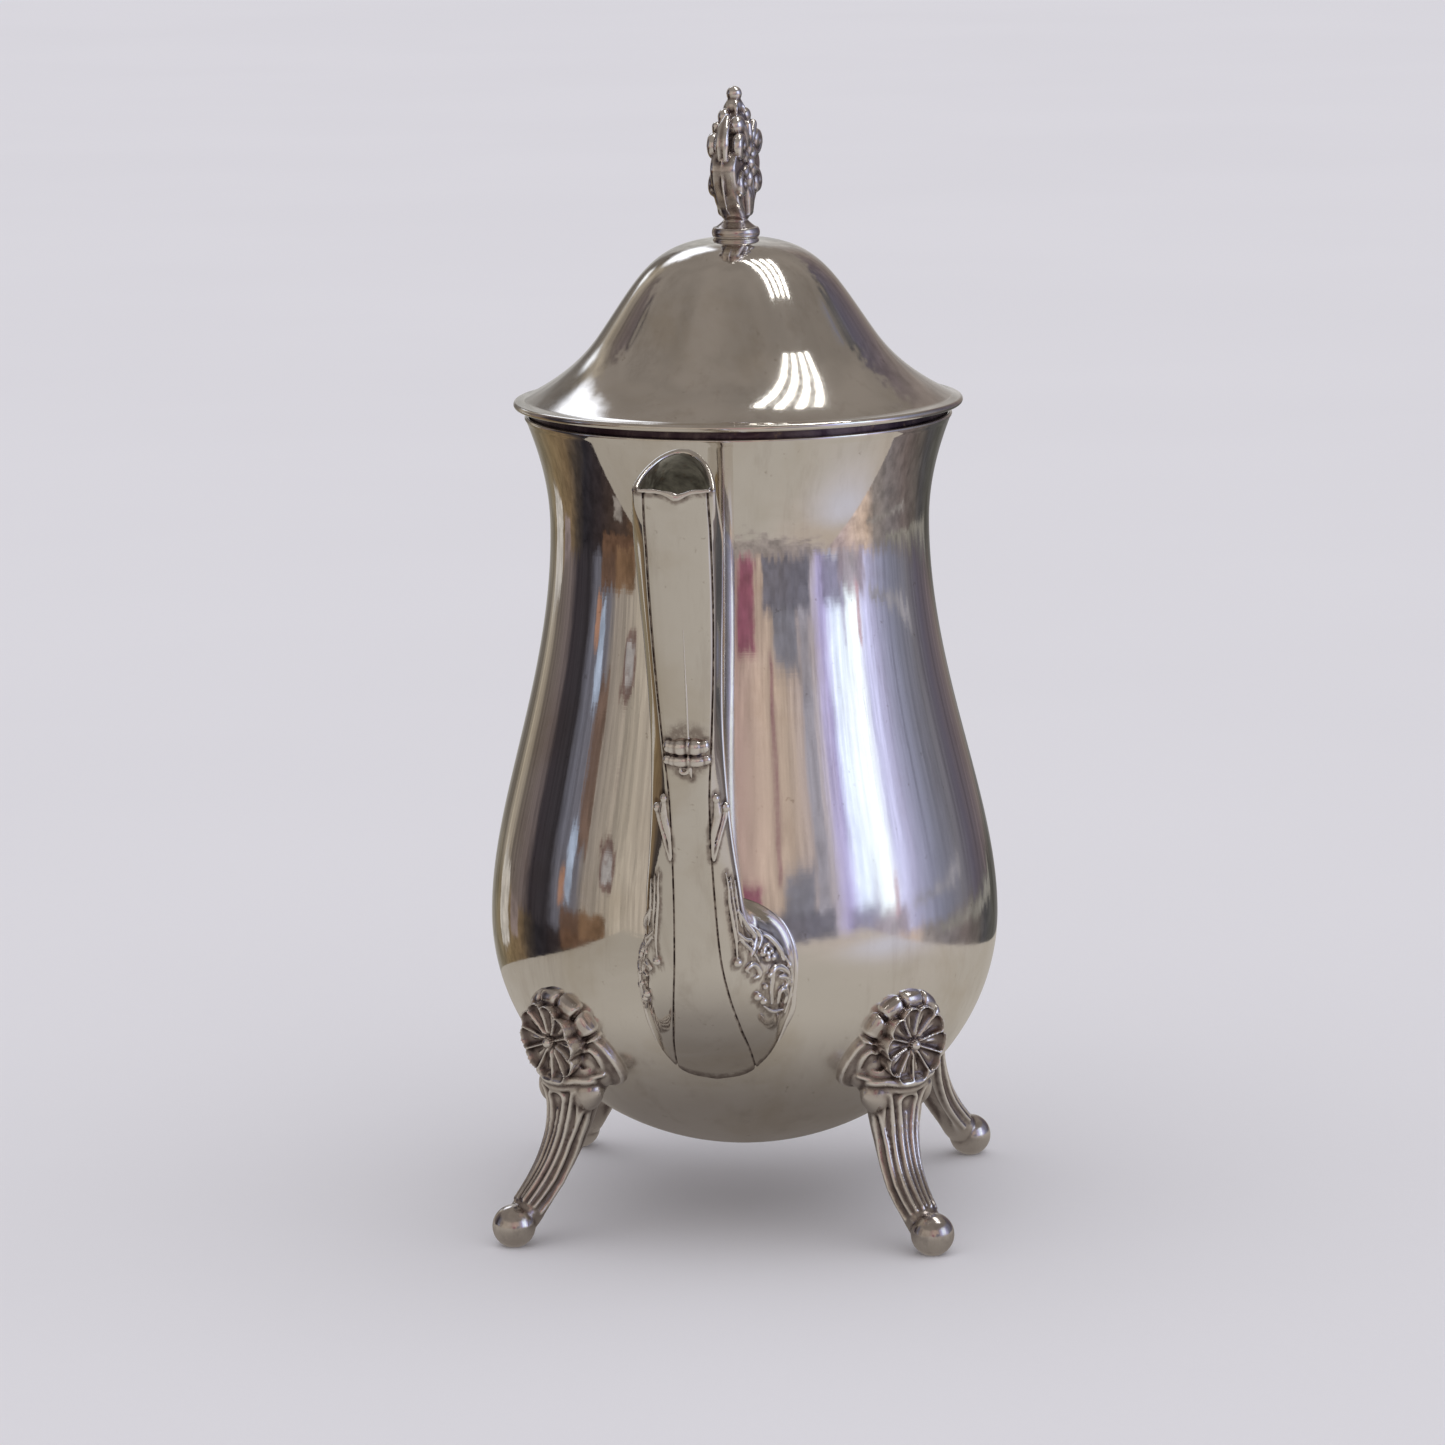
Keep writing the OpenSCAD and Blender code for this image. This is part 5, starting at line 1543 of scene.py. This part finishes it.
def make_room():
    """World light: pale studio, with a furnished room for the silver to mirror."""
    world = bpy.data.worlds.new("soft_studio_room")
    bpy.context.scene.world = world
    world.use_nodes = True
    tree = world.node_tree
    output = tree.nodes["World Output"]
    plain = tree.nodes["Background"]
    plain.inputs["Color"].default_value = (*PALE, 1)
    direction = add(tree, "ShaderNodeTexCoord").outputs["Generated"]
    level = add(tree, "ShaderNodeMapping", [("Vector", direction)])
    level.inputs["Rotation"].default_value = (0, 0, math.radians(90 - CAMERA_AZIMUTH))
    parts = add(tree, "ShaderNodeSeparateXYZ", [(0, level.outputs[0])])
    angle = maths(tree, "ARCTAN2", parts.outputs[1], parts.outputs[0])
    bearing = maths(tree, "MULTIPLY", angle, 180 / math.pi)
    height = maths(tree, "MULTIPLY", maths(tree, "ARCSINE", parts.outputs[2], 0), 180 / math.pi)
    wobble = noise(tree, direction, 7, detail=4, roughness=0.65, stretch=(1, 1, 0.35))
    jagged = noise(tree, direction, 24, detail=3, roughness=0.6)
    bearing = maths(tree, "ADD", bearing, spread(tree, wobble, 0.25, 0.75, -1.8, 1.8))
    bearing = maths(tree, "ADD", bearing, spread(tree, jagged, 0.3, 0.7, -0.7, 0.7))
    height = maths(tree, "ADD", height, spread(tree, jagged, 0.3, 0.7, -0.9, 0.9))
    around = maths(tree, "MULTIPLY_ADD", bearing, 1 / 360)
    around.node.inputs[2].default_value = 0.5
    scale = 0.6
    walls = by_bearing(tree, around, WALLS, scale)
    low = by_bearing(tree, around, LOW, scale)
    streaks = noise(tree, direction, 26, detail=4, roughness=0.65, stretch=(1, 1, 0.05))
    fine = noise(tree, direction, 110, detail=2, roughness=0.6, stretch=(1, 1, 0.04))
    gain = maths(tree, "MULTIPLY", spread(tree, streaks, 0.3, 0.7, 0.76, 1.24),
                 spread(tree, fine, 0.3, 0.7, 0.90, 1.10))
    walls = tinted(tree, walls, gain)
    patchy = noise(tree, direction, 11, detail=5, roughness=0.7, stretch=(1, 1, 1.6))
    low = tinted(tree, low, spread(tree, patchy, 0.3, 0.7, 0.72, 1.28))
    room = blend(tree, spread(tree, height, TABLE_LEVEL - 1.2, TABLE_LEVEL + 1.2), low, walls)
    room = tinted(tree, room, maths(tree, "DIVIDE", 1.0, scale))
    for sides, levels, soft, colour in THINGS:
        mask = in_patch(tree, bearing, height, sides, levels, soft)
        room = blend(tree, maths(tree, "MULTIPLY", mask, 0.92), room,
                     tinted(tree, rgb(tree, colour), spread(tree, patchy, 0.3, 0.7, 0.7, 1.3)))
    cloudy = noise(tree, direction, 2.2, detail=3)
    ceiling = tinted(tree, rgb(tree, CEILING), spread(tree, cloudy, 0.3, 0.7, 0.88, 1.12))
    ragged = maths(tree, "ADD", height, spread(tree, patchy, 0.3, 0.7, -5.0, 5.0))
    ragged = maths(tree, "ADD", ragged, spread(tree, streaks, 0.3, 0.7, -3.0, 3.0))
    room = blend(tree, spread(tree, ragged, CEILING_LEVEL - 2.5, CEILING_LEVEL + 2.5), room, ceiling)
    for sides, levels, soft, colour in LAMPS:
        mask = in_patch(tree, bearing, height, sides, levels, soft)
        room = blend(tree, mask, room, colour)
    seen = add(tree, "ShaderNodeBackground")
    tree.links.new(room, seen.inputs["Color"])
    mix = add(tree, "ShaderNodeMixShader")
    tree.links.new(add(tree, "ShaderNodeLightPath").outputs["Is Glossy Ray"], mix.inputs[0])
    tree.links.new(plain.outputs[0], mix.inputs[1])
    tree.links.new(seen.outputs[0], mix.inputs[2])
    tree.links.new(mix.outputs[0], output.inputs["Surface"])


# Corners of the table the pot stands on, metres to the right of the pot and towards the camera.
# Not a design: these and the table's tones were worked out from the reflections in the
# photograph. report.md says so, under the rules broken.
TABLE_CORNERS = [(0.045, -0.35), (1.10, 0.88), (-1.18, 0.88)]


def table_point(right, near, z=0.0):
    a = math.radians(CAMERA_AZIMUTH)
    return (right * math.cos(a) + near * math.sin(a), right * math.sin(a) - near * math.cos(a), z)


def make_mirrored_table():
    """Pale table top that only reflections see, darker in the shade under the pot."""
    material = bpy.data.materials.new("mirrored_table")
    material.use_nodes = True
    tree = material.node_tree
    tree.nodes.remove(tree.nodes["Principled BSDF"])
    place = add(tree, "ShaderNodeTexCoord").outputs["Object"]
    parts = add(tree, "ShaderNodeSeparateXYZ", [(0, place)])
    flat = add(tree, "ShaderNodeCombineXYZ", [(0, parts.outputs[0]), (1, parts.outputs[1])])
    away = add(tree, "ShaderNodeVectorMath", [(0, flat.outputs[0])], operation="LENGTH")
    smears = noise(tree, place, 9, detail=4, roughness=0.6)
    across = maths(tree, "ADD", parts.outputs[0], spread(tree, smears, 0.3, 0.7, -0.05, 0.05))
    colour = blend(tree, spread(tree, across, -0.35, 0.10), (0.375, 0.340, 0.295),
                   (0.455, 0.420, 0.378))
    colour = blend(tree, spread(tree, across, 0.10, 0.50), colour, (0.56, 0.50, 0.465))
    glare = add(tree, "ShaderNodeVectorMath", [(0, flat.outputs[0])], operation="DISTANCE")
    glare.inputs[1].default_value = table_point(0.42, 0.20)
    colour = blend(tree, spread(tree, glare.outputs["Value"], 0.02, 0.26, 0.75, 0.0), colour,
                   (0.62, 0.63, 0.76))
    shade = spread(tree, away.outputs["Value"], 0.030, 0.135, 1.0, 0.0)
    colour = blend(tree, maths(tree, "POWER", shade, 1.6), colour, (0.17, 0.150, 0.138))
    near = add(tree, "ShaderNodeVectorMath", [(0, flat.outputs[0])], operation="DOT_PRODUCT")
    near.inputs[1].default_value = table_point(0, 1)
    ragged = maths(tree, "ADD", near.outputs["Value"], spread(tree, smears, 0.3, 0.7, -0.16, 0.16))
    light = add(tree, "ShaderNodeEmission", [("Color", colour)])
    mix = add(tree, "ShaderNodeMixShader", [(0, spread(tree, ragged, 0.55, 0.84))])
    tree.links.new(light.outputs[0], mix.inputs[1])
    tree.links.new(add(tree, "ShaderNodeBsdfTransparent").outputs[0], mix.inputs[2])
    tree.links.new(mix.outputs[0], tree.nodes["Material Output"].inputs["Surface"])
    mesh = new_mesh("mirrored_table", [table_point(*c) for c in TABLE_CORNERS], [[0, 1, 2]], 1.0)
    mesh.materials.append(material)
    card = in_scene("mirrored_table", mesh)
    card.visible_camera = card.visible_diffuse = card.visible_shadow = False
    card.visible_transmission = False


def rgb(tree, colour):
    node = add(tree, "ShaderNodeRGB")
    node.outputs[0].default_value = (*colour, 1)
    return node.outputs[0]


def tinted(tree, colour, factor):
    """A colour multiplied by a number socket."""
    node = add(tree, "ShaderNodeVectorMath", operation="SCALE")
    tree.links.new(colour, node.inputs[0])
    tree.links.new(factor, node.inputs["Scale"])
    return node.outputs[0]


# The row's place and direction were worked out from the photograph too.
TUBES, TUBE_PITCH, TUBE_SIZE, TUBE_POWER = 4, 0.118, (0.036, 0.92), 0.75
TUBE_COLOUR = (1.0, 0.99, 0.96)
TUBES_RIGHT, TUBES_NEAR = 0.497, -0.113       # middle of the row, in metres on the table


def make_lights():
    """Ceiling tubes that only the silver mirrors, and a soft fill."""
    along_tubes, across_tubes = (0.575, 0.818), (0.818, -0.575)
    lid_z, rise = 0.205, 1.2
    for k in range(TUBES):
        shift = TUBE_PITCH * (k - (TUBES - 1) / 2)
        right = TUBES_RIGHT + shift * across_tubes[0]
        near = TUBES_NEAR + shift * across_tubes[1]
        tube_light = reflected_light(f"ceiling_tube_{k}", TUBE_SIZE, TUBE_POWER, TUBE_COLOUR)
        x, y, _ = table_point(right, near)
        tube_light.location = (x, y, lid_z + rise)
        tube_light.rotation_euler = (0, 0, -math.atan2(*(Matrix.Rotation(
            math.radians(CAMERA_AZIMUTH), 2) @ Vector((along_tubes[0], -along_tubes[1])))))
    fill = bpy.data.lights.new("soft_fill", "SUN")
    fill.energy, fill.angle = 0.55, math.radians(90)
    sun = in_scene("soft_fill", fill)
    sun.rotation_euler = (math.radians(12), math.radians(8), 0)
    sun.visible_glossy = False


# ------------------------------------------------------------------ build

make_camera()
bpy.context.scene.view_settings.view_transform = "Standard"
make_room()
make_lights()
make_floor()
make_mirrored_table()
make_body()
make_mouth_ring()
make_lid()
make_bun()
make_spout()
make_feet()
make_handle_joints()
make_handle()
make_finial()
CARRIED = {"hinge_body_leaf": CAST, "hinge_pin": CAST, "hinge_lid_leaf": CAST, "finial_stud": BRASS,
           "finial_washer": BRASS, "finial_nut": BRASS}
for node, material in CARRIED.items():
    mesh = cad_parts[node].data
    mesh.materials.clear()
    mesh.materials.append(material)
